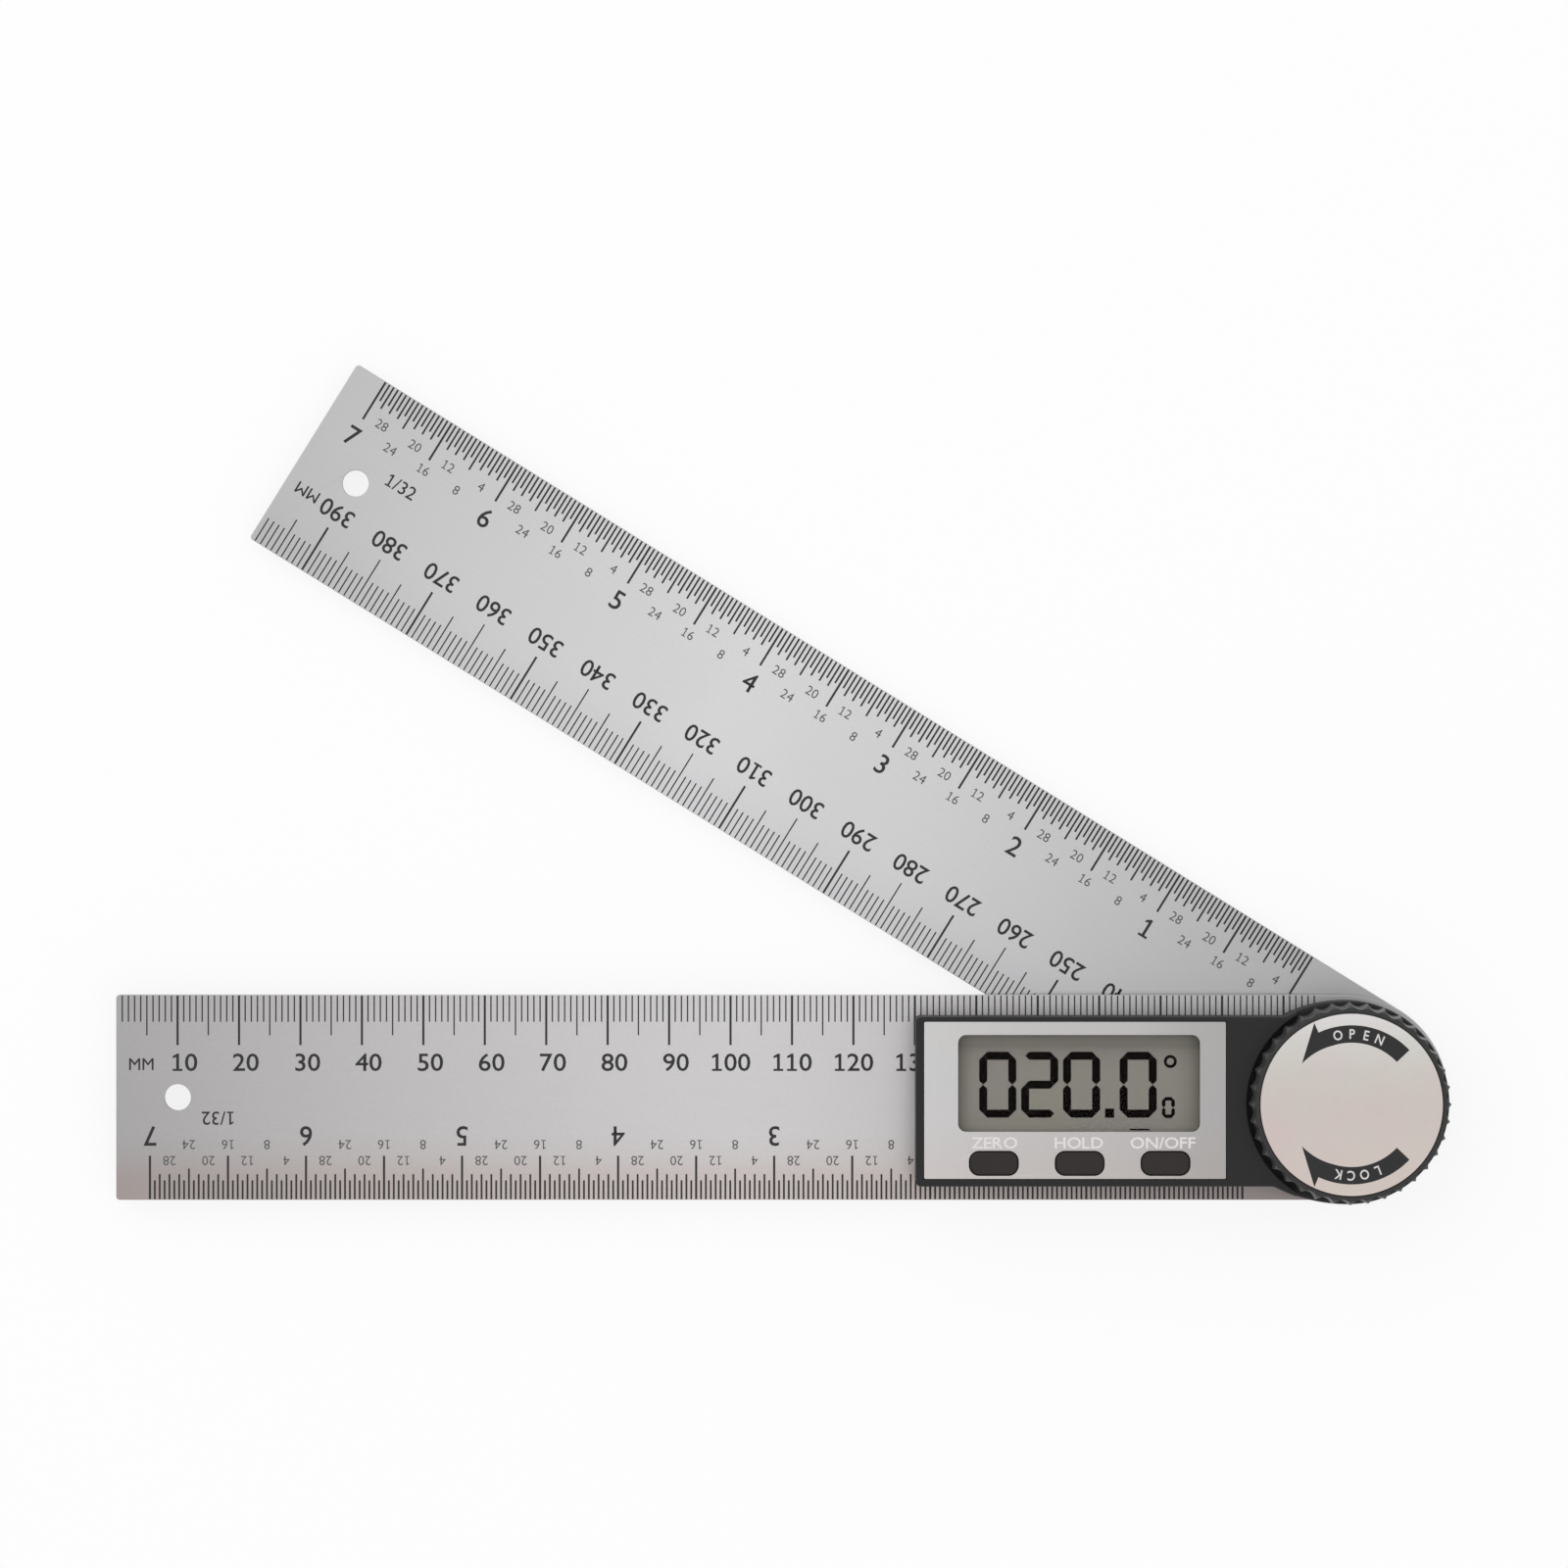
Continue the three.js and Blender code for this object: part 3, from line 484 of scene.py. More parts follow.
class Finish(Wiring):
    """A procedural material."""

    def __init__(self, name, base, roughness, metallic=0.0, shine=0.5):
        self.material = bpy.data.materials.new(name)
        self.material.use_nodes = True
        super().__init__(self.material.node_tree)
        self.shader = self.tree.nodes["Principled BSDF"]
        self.set("Base Color", base)
        self.set("Roughness", roughness)
        self.set("Metallic", metallic)
        self.set("Specular IOR Level", shine)
        self.place = self.node("ShaderNodeTexCoord").outputs["Object"]

    def set(self, socket, value):
        self.shader.inputs[socket].default_value = value

    def axis(self, name):
        split = self.node("ShaderNodeSeparateXYZ")
        self.link(self.place, split.inputs[0])
        return split.outputs[name]

    def noise(self, size, detail, stretch=(1, 1, 1)):
        """Noise from 0 to 1 whose spots are about this many millimetres across."""
        mapping = self.node("ShaderNodeMapping")
        self.link(self.place, mapping.inputs["Vector"])
        mapping.inputs["Scale"].default_value = [1 / share for share in stretch]
        texture = self.node("ShaderNodeTexNoise")
        self.link(mapping.outputs[0], texture.inputs["Vector"])
        texture.inputs["Scale"].default_value = 1 / (size * MM)
        texture.inputs["Detail"].default_value = detail
        return texture.outputs[0]

    def spread(self, value, amount, middle=1.0):
        """A value from 0 to 1 as middle, plus or minus half the amount."""
        return self.math("MULTIPLY_ADD", value, amount, middle - amount / 2)

    def ramp(self, axis, start, end, tones):
        """Colours along an axis between two places, from (share, colour) pairs."""
        return self.shade(self.axis(axis), start * MM, end * MM, tones)

    def shade(self, value, start, end, tones):
        share = self.node("ShaderNodeMapRange")
        self.fill(share, value, start, end)
        ramp = self.node("ShaderNodeValToRGB")
        elements = ramp.color_ramp.elements
        while len(elements) < len(tones):
            elements.new(0.5)
        for element, (position, tone) in zip(elements, tones):
            element.position = position
            element.color = tone
        self.link(share.outputs[0], ramp.inputs[0])
        return ramp.outputs[0]

    def drift(self, size, first, second):
        """Soft spots of two colours, about this many millimetres across."""
        return self.shade(self.noise(size, 1), 0.3, 0.7, [(0.0, first), (1.0, second)])

    def multiply(self, share, first, second):
        """The first colour, by a share times the second."""
        mixer = self.node("ShaderNodeMix", data_type="RGBA", blend_type="MULTIPLY")
        for name, value in (("Factor_Float", share), ("A_Color", first), ("B_Color", second)):
            self.feed(next(item for item in mixer.inputs if item.identifier == name), value)
        return next(item for item in mixer.outputs if item.identifier == "Result_Color")

    def tint(self, base, *noises, shades=()):
        """The base colour times grey shades and noises, each with the amount that it is spread by."""
        total, *others = [*shades, *(self.spread(*noise) for noise in noises)]
        for factor in others:
            total = self.math("MULTIPLY", total, factor)
        self.link(self.multiply(1.0, base, total), self.shader.inputs["Base Color"])

    def rough(self, value, middle, amount):
        self.link(self.spread(value, amount, middle), self.shader.inputs["Roughness"])

    def bump(self, value, depth, strength):
        """Raises the surface by about this many millimetres."""
        made = self.node("ShaderNodeBump")
        made.inputs["Strength"].default_value = strength
        made.inputs["Distance"].default_value = depth * MM
        self.link(value, made.inputs["Height"])
        self.link(made.outputs[0], self.shader.inputs["Normal"])


def rule_steel(name, along, painted_reflection_tint, painted_housing_shadow=None):
    """Satin steel whose tone changes along the rule as a painted sheen. A painted warm reflection
    darkens and warms it towards its lower edge.

    Its last argument paints the housing's shadow on the lowest strip of its front.
    """
    finish = Finish(name, colour(194, 193, 194), 0.36, 1.0)
    bottom = rule_lift - rule_half_width
    # Painted warm reflection: the lower edge of the front is darkened and warmed by the tint.
    painted_warm_reflection = finish.ramp("Y", bottom, rule_lift, stops(
        (0.0, 0.62), (0.12, 0.62), (0.25, 0.55), (0.42, 0.2), (0.65, 0)))
    # The ramp along X is the steel's tone with a painted sheen: lightest where the studio light is
    # mirrored, darker towards the ends.
    base = finish.multiply(painted_warm_reflection, finish.ramp("X", rule_tip, rule_half_width, along), painted_reflection_tint)
    # Painted shadow of the housing on the lowest strip of the front, where the housing stands.
    if painted_housing_shadow:
        painted_shadow_tone = finish.ramp("X", rule_tip, rule_half_width, painted_housing_shadow)
        near = finish.ramp("Y", bottom, bottom + painted_shadow_width, stops((0.0, 1), (0.55, 1), (1.0, 0)))
        front = finish.ramp("Z", rule_low.z, rule_high.z, stops((0.9, 0), (1.0, 1)))
        base = finish.multiply(finish.math("MULTIPLY", near, front), base, painted_shadow_tone)
    grain = finish.noise(0.22, 3)
    strokes = finish.noise(0.16, 2, (60, 1, 1))
    finish.tint(base, (grain, 0.16), (strokes, 0.06), (finish.noise(24, 3), 0.06))
    finish.rough(grain, 0.38, 0.14)
    finish.bump(finish.math("ADD", grain, strokes), 0.006, 0.35)
    return finish.material


def metal(name, tone, roughness, size):
    finish = Finish(name, tone, roughness, 1.0)
    marks = finish.noise(size, 3)
    finish.tint(tone, (marks, 0.14), (finish.noise(6, 2), 0.08))
    finish.rough(marks, roughness, 0.12)
    finish.bump(marks, 0.01, 0.3)
    return finish.material


def moulding(name, tone, roughness, texture=0.14, depth=0.012, shine=0.2, painted_light_side_tone=None):
    """Plastic with a fine texture and slight handling marks. The side tone is painted light on the
    sides of the knob's ridges, below their top chamfer.
    """
    finish = Finish(name, tone, roughness, shine=shine)
    pits = finish.noise(texture, 3)
    marks = finish.noise(9, 4)
    shown = tone
    # Painted light: the knob's ridges are lighter below their top chamfer.
    if painted_light_side_tone:
        shown = finish.ramp("Z", knob_high.z - knob_chamfer, knob_high.z, [
            (0.0, painted_light_side_tone), (0.5, painted_light_side_tone), (0.9, tone), (1.0, tone)])
    finish.tint(shown, (pits, 0.2), (marks, 0.22))
    finish.rough(marks, roughness, 0.16)
    finish.bump(pits, depth, 0.5)
    return finish.material


def rubber(name, tone):
    finish = Finish(name, tone, 0.62, shine=0.22)
    grain = finish.noise(0.18, 3)
    finish.tint(tone, (grain, 0.16), (finish.noise(3, 2), 0.14))
    finish.rough(grain, 0.62, 0.12)
    finish.bump(grain, 0.008, 0.4)
    return finish.material


def plate_silver():
    """The satin face plate, which darkens towards its right end as a painted sheen, with a painted warm
    reflection along its bottom.
    """
    finish = Finish("plate_silver", colour(196, 195, 196), 0.42, 1.0)
    # Painted sheen: lighter at the left end, darker towards the right.
    along = finish.ramp("X", plate_low.x, plate_high.x, stops(
        (0.0, 192, 191, 192), (0.35, 184, 183, 183), (0.7, 178, 177, 177), (0.9, 166, 165, 165),
        (1.0, 164, 163, 163)))
    # Painted warm reflection, warmest along the bottom.
    painted_warm_reflection = finish.ramp("Y", plate_low.y, plate_high.y, stops(
        (0.0, 255, 249, 246), (0.4, 255, 254, 254), (1.0, 255, 255, 253)))
    grain = finish.noise(0.16, 3)
    strokes = finish.noise(0.14, 2, (1, 40, 1))
    base = finish.multiply(1.0, along, painted_warm_reflection)
    finish.tint(base, (grain, 0.12), (strokes, 0.05))
    finish.rough(grain, 0.42, 0.12)
    finish.bump(grain, 0.005, 0.3)
    return finish.material


def knob_silver():
    """The knob's spun disc, with painted light: lighter at the top and a painted warm reflection below.
    """
    finish = Finish("knob_silver", colour(203, 196, 194), 0.4, 0.85)
    # Painted light across the disc: lighter at the top, warmer at the bottom.
    painted_light_upwards = finish.ramp("Y", -face_radius, face_radius, stops(
        (0.0, 199, 188, 183), (0.3, 197, 187, 184), (0.5, 195, 187, 184), (0.67, 196, 190, 187),
        (0.85, 201, 198, 196), (1.0, 211, 209, 210)))
    base = finish.multiply(1.0, painted_light_upwards, finish.drift(7, colour(252, 255, 251), colour(255, 250, 250)))
    length = finish.node("ShaderNodeVectorMath", operation="LENGTH")
    finish.link(finish.place, length.inputs[0])
    turning = finish.node("ShaderNodeTexNoise", noise_dimensions="1D")
    finish.link(length.outputs["Value"], turning.inputs["W"])
    turning.inputs["Scale"].default_value = 1 / (0.12 * MM)
    grain = finish.noise(0.2, 3)
    finish.tint(base, (grain, 0.1), (turning.outputs[0], 0.05))
    finish.rough(grain, 0.4, 0.12)
    finish.bump(turning.outputs[0], 0.004, 0.25)
    return finish.material


def display_grey():
    """The display's grey layer, darker under the edges of the window as painted shade, and lighter
    along its bottom as painted light.
    """
    finish = Finish("display_grey", colour(144, 139, 130), 0.35, shine=0.1)
    # Painted light along the bottom, and painted shade from the window's top, left and right edges.
    bottom = finish.ramp("Y", window_bottom, window_bottom + 1.8, stops((0.0, 1.26), (1.0, 1)))
    top = finish.ramp("Y", window_top, window_top - 6, stops(
        (0.0, 0.9), (0.17, 0.85), (0.28, 0.76), (0.34, 0.78), (0.43, 0.89), (0.68, 0.96), (1.0, 1)))
    left = finish.ramp("X", window_left, window_left + 2.4, stops((0.0, 0.84), (1.0, 1)))
    right = finish.ramp("X", window_right, window_right - 4, stops((0.0, 0.84), (1.0, 1)))
    cast = finish.drift(9, colour(144, 139, 134), colour(144, 141, 131))
    finish.tint(cast, (finish.noise(2.5, 3), 0.05), shades=(top, bottom, left, right))
    return finish.material


def clear_lens():
    finish = Finish("clear_lens", colour(50, 50, 50), 0.05)
    finish.set("Alpha", 0.04)
    finish.rough(finish.noise(5, 2), 0.05, 0.03)
    return finish.material


def ink(name, tone, roughness=0.55, shine=0.1):
    """Printing ink, which covers a little unevenly."""
    finish = Finish(name, tone, roughness, shine=shine)
    cover = finish.noise(0.5, 3)
    finish.tint(tone, (cover, 0.24))
    finish.rough(cover, roughness, 0.15)
    return finish.material


# The tones along each rule are a painted sheen. The colour after them tints the painted warm
# reflection, and the fixed rule's last stops give the painted housing shadow.
steel_fixed = rule_steel("rule_steel_fixed", stops(
    (0.0, 160, 158, 159), (0.2, 179, 177, 177), (0.35, 190, 188, 189), (0.47, 195, 193, 194),
    (0.57, 190, 188, 188), (0.75, 178, 176, 177), (1.0, 168, 167, 167)), colour(244, 226, 219),
    stops((0.0, 1), (0.55, 1), (0.6, 0.9), (0.65, 0.78), (0.74, 0.74), (0.83, 0.65), (0.92, 0.61)))
steel_moving = rule_steel("rule_steel_moving", stops(
    (0.0, 173, 173, 173), (0.2, 191, 191, 191), (0.37, 201, 201, 202), (0.55, 195, 195, 196),
    (0.8, 171, 171, 172), (1.0, 158, 158, 160)), colour(246, 246, 247))
bright_steel = metal("bright_steel", colour(186, 188, 191), 0.26, 0.4)
washer_steel = metal("washer_steel", colour(176, 178, 182), 0.3, 0.3)
brass = metal("turned_brass", colour(201, 164, 84), 0.3, 0.3)
nickel = metal("cell_can", colour(196, 196, 194), 0.28, 0.5)
case_plastic = moulding("case_plastic", colour(34, 34, 34), 0.5)
# The knob's lighter side tone is painted light on its ridges.
knob_plastic = moulding(
    "knob_plastic", colour(41, 40, 40), 0.42, 0.2, 0.006, 0.32, painted_light_side_tone=colour(72, 71, 71))
back_plastic = moulding("back_plastic", colour(38, 38, 39), 0.5)
key_rubber = rubber("key_rubber", colour(43, 39, 38))
face_silver = plate_silver()
disc_silver = knob_silver()
display = display_grey()
lens = clear_lens()
scale_ink = ink("scale_ink", colour(54, 54, 55))
part_ink = ink("part_ink", colour(92, 92, 93))
arrow_ink = ink("arrow_ink", colour(50, 50, 50))
word_silver = ink("word_silver", colour(214, 211, 210), 0.4)
label_ink = ink("label_ink", colour(225, 222, 221), 0.5)
segment_ink = ink("segment_ink", colour(8, 4, 4), 0.4, 0.0)
board_mask = moulding("board_mask", colour(26, 102, 66), 0.4, 0.5, 0.01, 0.5)
epoxy = moulding("epoxy", colour(22, 22, 24), 0.25, 1.5, 0.02, 0.5)
nylon = moulding("nylon", colour(226, 223, 214), 0.5, 0.3, 0.008, 0.5)
zebra_rubber = rubber("zebra_rubber", colour(204, 164, 168))


# Pieces

def paint(mesh, material):
    mesh.materials.clear()
    mesh.materials.append(material)


def piece(name, mesh, body, material, replaces=(), turn=0.0, place=(0, 0, 0), smooth=35):
    """Puts a mesh in the scene as a piece of the object that rides on a body."""
    item = put(name, mesh)
    paint(mesh, material)
    mesh.shade_smooth()
    mesh.set_sharp_from_angle(angle=radians(smooth))
    weighted = item.modifiers.new("weighted_normals", "WEIGHTED_NORMAL")
    weighted.keep_sharp = True
    item.matrix_world = (
        Matrix.Translation([value * MM for value in place])
        @ Matrix.Rotation(radians(turn), 4, "Z"))
    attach(item, body)
    if replaces:
        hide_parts(*replaces)
    return item


def screw_hole(x, y, back, front):
    """A countersunk hole that is entered from below, for solid()."""
    head_back = back + screw_sink
    reach = screw_head - screw_shank
    return circle(x, y, screw_shank + screw_hole_gap), [
        (back, reach + well_edge / 2), (back + screw_sink / 2, reach), (head_back, reach),
        (head_back + screw_head_height, 0.0), (front, 0.0)]


def middle_of(node):
    low, high = box(node)
    return (low.x + high.x) / 2, (low.y + high.y) / 2


def rule_mesh(name, low, high, centre_radius, more_holes):
    """A rule along -X, with its hang hole, the hole round the pivot and more holes."""
    rim = hole_levels(low.z, high.z, rule_edge, rule_edge)
    holes = [
        (circle(rule_tip + hang_hole_inset, rule_lift, hang_hole_radius), rim),
        (disc(centre_radius), rim),
    ]
    side = levels(low.z, high.z, rule_edge, rule_edge)
    return solid(rule_outline(), side, holes + more_holes).mesh(name)


def make_fixed_rule():
    bottom, top = rule_low.z, rule_high.z
    holes = [(cover_hole_outline(), hole_levels(bottom, top))]
    holes += [screw_hole(*middle_of(f"case_screw_{i}"), bottom, top) for i in (1, 2, 3, 4)]
    mesh = rule_mesh("fixed_rule", rule_low, rule_high, hub_hole_radius, holes)
    piece("steel_rule_fixed", mesh, "fixed_assembly", steel_fixed, ["fixed_rule"])


def turned_back(x, y):
    """A point of the frame as the moving rule's own coordinates, in which it lies along -X."""
    angle = radians(open_angle)
    return x * cos(angle) - y * sin(angle), x * sin(angle) + y * cos(angle)


def make_moving_rule():
    places = [turned_back(*middle_of(f"hub_screw_{i}")) for i in (1, 2, 3)]
    rim = hole_levels(arm_low.z, arm_high.z, rule_edge, rule_edge)
    holes = [(circle(x, y, screw_shank + screw_hole_gap), rim) for x, y in places]
    mesh = rule_mesh("moving_rule", arm_low, arm_high, bolt_hole_radius, holes)
    piece("steel_rule_moving", mesh, "moving_arm", steel_moving, ["moving_rule"],
          turn=-open_angle)


def centred_rectangle(x, y, length, height, radius):
    return rounded_rectangle(x - length / 2, y - height / 2, x + length / 2, y + height / 2, radius)


def key_outline(node, gap=0.0):
    x = middle_of(node)[0]
    return centred_rectangle(x, key_row, key_length + 2 * gap, key_height + 2 * gap, key_radius + gap)


def window_outline(lap):
    return rounded_rectangle(
        window_left - lap, window_bottom - lap, window_right + lap, window_top + lap, lens_corner)


def make_housing():
    back, front = housing_low.z, housing_high.z
    reach = round_radius + overrun
    mouth = back - overrun
    beside_knob = block(
        rounded_rectangle(high_front_end, -reach, reach, reach, well_edge), mouth, front + overrun)
    high_part = solid(case_outline(), levels(back, front, 0, case_edge)).mesh("housing")
    low_part = solid(case_outline(), levels(back, round_front, 0, case_edge))
    body = join(cut(high_part, beside_knob), low_part)
    cavity = block(case_outline(case_wall), mouth, wall_back).mesh("cavity")
    roof = block(disc(well_radius + case_wall), round_front - round_ceiling, front)
    body = boolean(body, cut(cavity, roof), "DIFFERENCE")
    well = solid(disc(well_radius), [
        (knob_low.z - well_depth, 0), (front - well_slope, 0), (front, well_slope),
        (front + overrun, well_slope)])
    washer_room = block(disc(knob_pocket_radius + well_edge), round_front, front + overrun)
    recess = solid(
        rounded_rectangle(
            plate_low.x - plate_gap, plate_bottom - plate_gap,
            plate_high.x + plate_gap, plate_top + plate_gap, plate_corner),
        hole_levels(wall_front, front, 0, plate_edge) + [(front + overrun, plate_edge)])
    sleeve_hole = block(
        disc(sleeve_hole_radius), round_front - 2 * round_ceiling, round_front + overrun)
    through = wall_back - overrun, wall_front + plate_gap
    window = block(window_outline(lens_lap + lens_gap), *through)
    key_holes = [block(key_outline(node, key_hole_gap), *through) for node in key_nodes]
    body = cut(body, well, washer_room, recess, window, sleeve_hole, *key_holes)
    piece("case_shell", body, "fixed_assembly", case_plastic, ["housing"])


def make_plate():
    back, front = plate_low.z, plate_high.z
    rim = hole_levels(back, front, 0, plate_edge)
    holes = [(window_outline(0), rim)]
    holes += [(key_outline(node, key_hole_gap), rim) for node in key_nodes]
    outer = rounded_rectangle(plate_low.x, plate_bottom, plate_high.x, plate_top, plate_corner)
    mesh = solid(outer, levels(back, front, 0, plate_edge), holes).mesh("face_plate")
    piece("silver_plate", mesh, "fixed_assembly", face_silver, ["face_plate"])


def make_lens():
    mesh = solid(window_outline(lens_lap), levels(lens_low.z, lens_high.z, 0, lens_edge)).mesh("lens")
    piece("window_lens", mesh, "fixed_assembly", lens, ["display_lens"])


def make_key(node, body):
    """A key: a cap with well-rounded edges, its flange, and the nub over its dome."""
    low, high = box(node)
    flange_back = wall_back - plate_gap - flange_thickness
    flange_sides = rounded_rectangle(low.x, low.y, high.x, high.y, key_radius / 2)
    nub_sides = circle(middle_of(node)[0], key_row, key_nub_radius)
    cap = solid(key_outline(node), levels(flange_back, high.z, 0, key_edge)).mesh("key")
    flange = block(flange_sides, flange_back, flange_back + flange_thickness)
    nub = block(nub_sides, low.z, flange_back + flange_thickness / 2)
    mesh = join(cap, flange, nub)
    piece(f"key_{node.removeprefix('button_')}", mesh, body, key_rubber, [node])


def knob_ring(limit, spread):
    """One ring of the knob's side: ridges with hollow flutes, kept inside a radius."""
    points = []
    steps = tooth_steps * knob_teeth
    for i in range(steps):
        away = abs(2 * (i * knob_teeth / steps % 1) - 1)
        crest = max(0, away - 1 + knob_crest)
        ridge = away**2 - knob_crest_bend * crest**2
        points.append(polar(spread + min(knob_tip - knob_depth * (1 - ridge), limit), 360 * i / steps))
    return points


def make_knob():
    back, front = knob_low.z, knob_high.z
    inset = knob_tip - knob_chamfer
    recess_radius = face_high.x + knob_recess_gap
    recess_floor = face_low.z - knob_recess_gap
    shell = Shell()
    climb = [knob_chamfer * i / knob_chamfer_steps for i in range(knob_chamfer_steps + 1)]
    side = [(back + rise, inset + rise) for rise in climb]
    side += [(front - rise, inset + rise) for rise in climb[::-1]]
    rings = [
        shell.ring(knob_ring(limit, knob_spread * (front - height) / (front - back)), height)
        for height, limit in side]
    shell.wall(rings)
    rim_edge = knob_recess_gap / 2
    recess = shell.sweep(
        disc(recess_radius), [(recess_floor, 0), (front - rim_edge, 0), (front, rim_edge)], False)
    nut_pocket = [
        shell.ring(hexagon(nut_pocket_radius), height) for height in (knob_web_front, recess_floor)]
    shell.wall(nut_pocket, outward=False)
    bore = shell.sweep(disc(bolt_hole_radius), [(knob_web_back, 0), (knob_web_front, 0)], False)
    washer_pocket = shell.sweep(disc(knob_pocket_radius), [(back, 0), (knob_web_back, 0)], False)
    shell.cap(rings[-1], [recess[-1]])
    shell.cap(recess[0], [nut_pocket[1]])
    shell.cap(nut_pocket[0], [bore[1]])
    shell.cap(washer_pocket[1], [bore[0]], up=False)
    shell.cap(rings[0], [washer_pocket[0]], up=False)
    piece("ridged_knob", shell.mesh("knob"), "lock_knob", knob_plastic, ["knob"],
          smooth=50)


def make_knob_face():
    mesh = solid(disc(face_radius), levels(face_low.z, face_high.z, 0, plate_edge)).mesh("knob_face")
    piece("silver_disc", mesh, "lock_knob", disc_silver, ["knob_face"])


def make_rear_cap():
    places = [middle_of(f"hub_screw_{i}") for i in (1, 2, 3)]
    side = [
        (0, -cap_chamfer - well_edge / 2), (well_edge / 3, -cap_chamfer + well_edge / 3),
        (cap_chamfer - well_edge / 3, -well_edge / 3), (cap_chamfer, 0), (cap_high.z, 0)]
    holes = [screw_hole(x, y, 0, cap_high.z) for x, y in places]
    body = solid(disc(cap_high.x), side, holes).mesh("rear_cap")
    pocket = Shell()
    pocket.prism(hexagon(head_pocket_radius, -open_angle), cap_floor, cap_high.z + overrun)
    piece("pivot_cap", cut(body, pocket), "moving_arm", back_plastic, ["rear_cap"])


def screw_mesh(length):
    """A countersunk screw with a cross recess, its head down at height zero."""
    side = [
        (0, screw_head - screw_shank - plate_edge), (plate_edge / 2, screw_head - screw_shank),
        (screw_head_height, 0), (length - screw_tip, 0), (length, -screw_tip)]
    body = solid(disc(screw_shank), side).mesh("screw")
    tools = []
    for turn in (0, 90):
        tool = Shell()
        rings = []
        for height, share in cross_slope:
            half_length, half_width = cross_length / 2 * share, cross_width / 2 * share
            corners = [(-half_length, -half_width), (half_length, -half_width),
                       (half_length, half_width), (-half_length, half_width)]
            if turn:
                corners = [(-y, x) for x, y in corners]
            rings.append(tool.ring(corners, height))
        tool.wall(rings)
        tool.cap(rings[0], up=False)
        tool.cap(rings[-1])
        tools.append(tool)
    return cut(body, *tools)


def make_screws():
    groups = [
        ("case_screw", 4, "fixed_assembly", [12, 55, 31, 78]),
        ("hub_screw", 3, "moving_arm", [20, 47, 66]),
    ]
    for name, count, body, turns in groups:
        low, high = box(f"{name}_1")
        mesh = screw_mesh(high.z - low.z)
        for i in range(count):
            node = f"{name}_{i + 1}"
            place = (*middle_of(node), low.z)
            piece(f"cross_{node}", mesh, body, bright_steel, [node],
                  turn=turns[i], place=place)


def make_battery_cover():
    back, front = cover_low.z, cover_high.z
    inside = circle(*cover_middle, cover_radius - cover_wall), [(back + cover_floor, 0), (front, 0)]
    cup = solid(
        circle(*cover_middle, cover_radius), levels(back, front, cover_edge, 0), pockets=[inside])
    length, width, depth, corner = coin_slot
    x, y = cover_middle
    slot = solid(
        centred_rectangle(x, y, length, width, corner),
        [(back - overrun, cover_edge), (back, cover_edge), (back + cover_edge, 0), (back + depth, 0)])
    lugs = []
    for middle in (0, 180):
        ends = middle - lug_half_span, middle + lug_half_span
        inner = cover_radius - cover_wall / 2
        arcs = [(x, y, lug_radius, *ends), (x, y, inner, *ends[::-1])]
        lugs.append(block(arcs, front - lug_thickness, front))
    mesh = join(cut(cup.mesh("battery_cover"), slot), *lugs)
    piece("coin_cover", mesh, "battery_door", back_plastic, ["battery_cover"])


make_fixed_rule()
make_moving_rule()
make_housing()
make_plate()
make_lens()
for key_node, key_body in zip(key_nodes, key_bodies):
    make_key(key_node, key_body)
make_knob()
make_knob_face()
make_rear_cap()
make_screws()
make_battery_cover()


# Materials of the solids that stay as they are

kept_solids = (
    (display, ["lcd_glass"]),
    (back_plastic, ["inner_tray"]),
    (board_mask, ["main_board", "rotor_disc"]),
    (epoxy, ["controller_chip"]),
    (zebra_rubber, ["zebra_strip_upper", "zebra_strip_lower"]),
    (washer_steel, ["contact_dome_zero", "contact_dome_hold", "contact_dome_power", "wave_washer",
                    "thrust_washer", "retaining_clip"]),
    (nickel, ["battery"]),
    (brass, ["battery_front_contact", "battery_side_contact", "pivot_hub", "knob_nut"]),
    (nylon, ["friction_washer"]),
    (bright_steel, ["clamp_bolt"]),
)
for kept_material, kept_nodes in kept_solids:
    for kept_node in kept_nodes:
        paint(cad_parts[kept_node].data, kept_material)


# Prints

print_sink = 0.01  # how far a print goes into the face that carries it
print_rise = 0.014
glyph_cache = {}

# The figure one, as shares of its height: a flag, a stem and a foot
figure_one = (
    (-0.24, 0.0), (0.26, 0.0), (0.26, 0.1), (0.08, 0.1), (0.08, 1.0), (-0.02, 1.0),
    (-0.24, 0.86), (-0.24, 0.76), (-0.05, 0.83), (-0.05, 0.1), (-0.24, 0.1))


def text_mesh(text):
    """A flat mesh of the built-in font, for a font size of one."""
    font = bpy.data.curves.new("letters", "FONT")
    font.body = text
    font.resolution_u = 3
    holder = put("letters", font)
    mesh = shape_of(holder)
    bpy.data.objects.remove(holder)
    return mesh


def reach(text, axis):
    """How far a text goes along an axis, for a font size of one."""
    values = [vertex.co[axis] for vertex in text_mesh(text).vertices]
    return max(values) - min(values)


font_capital = reach("H", 1)


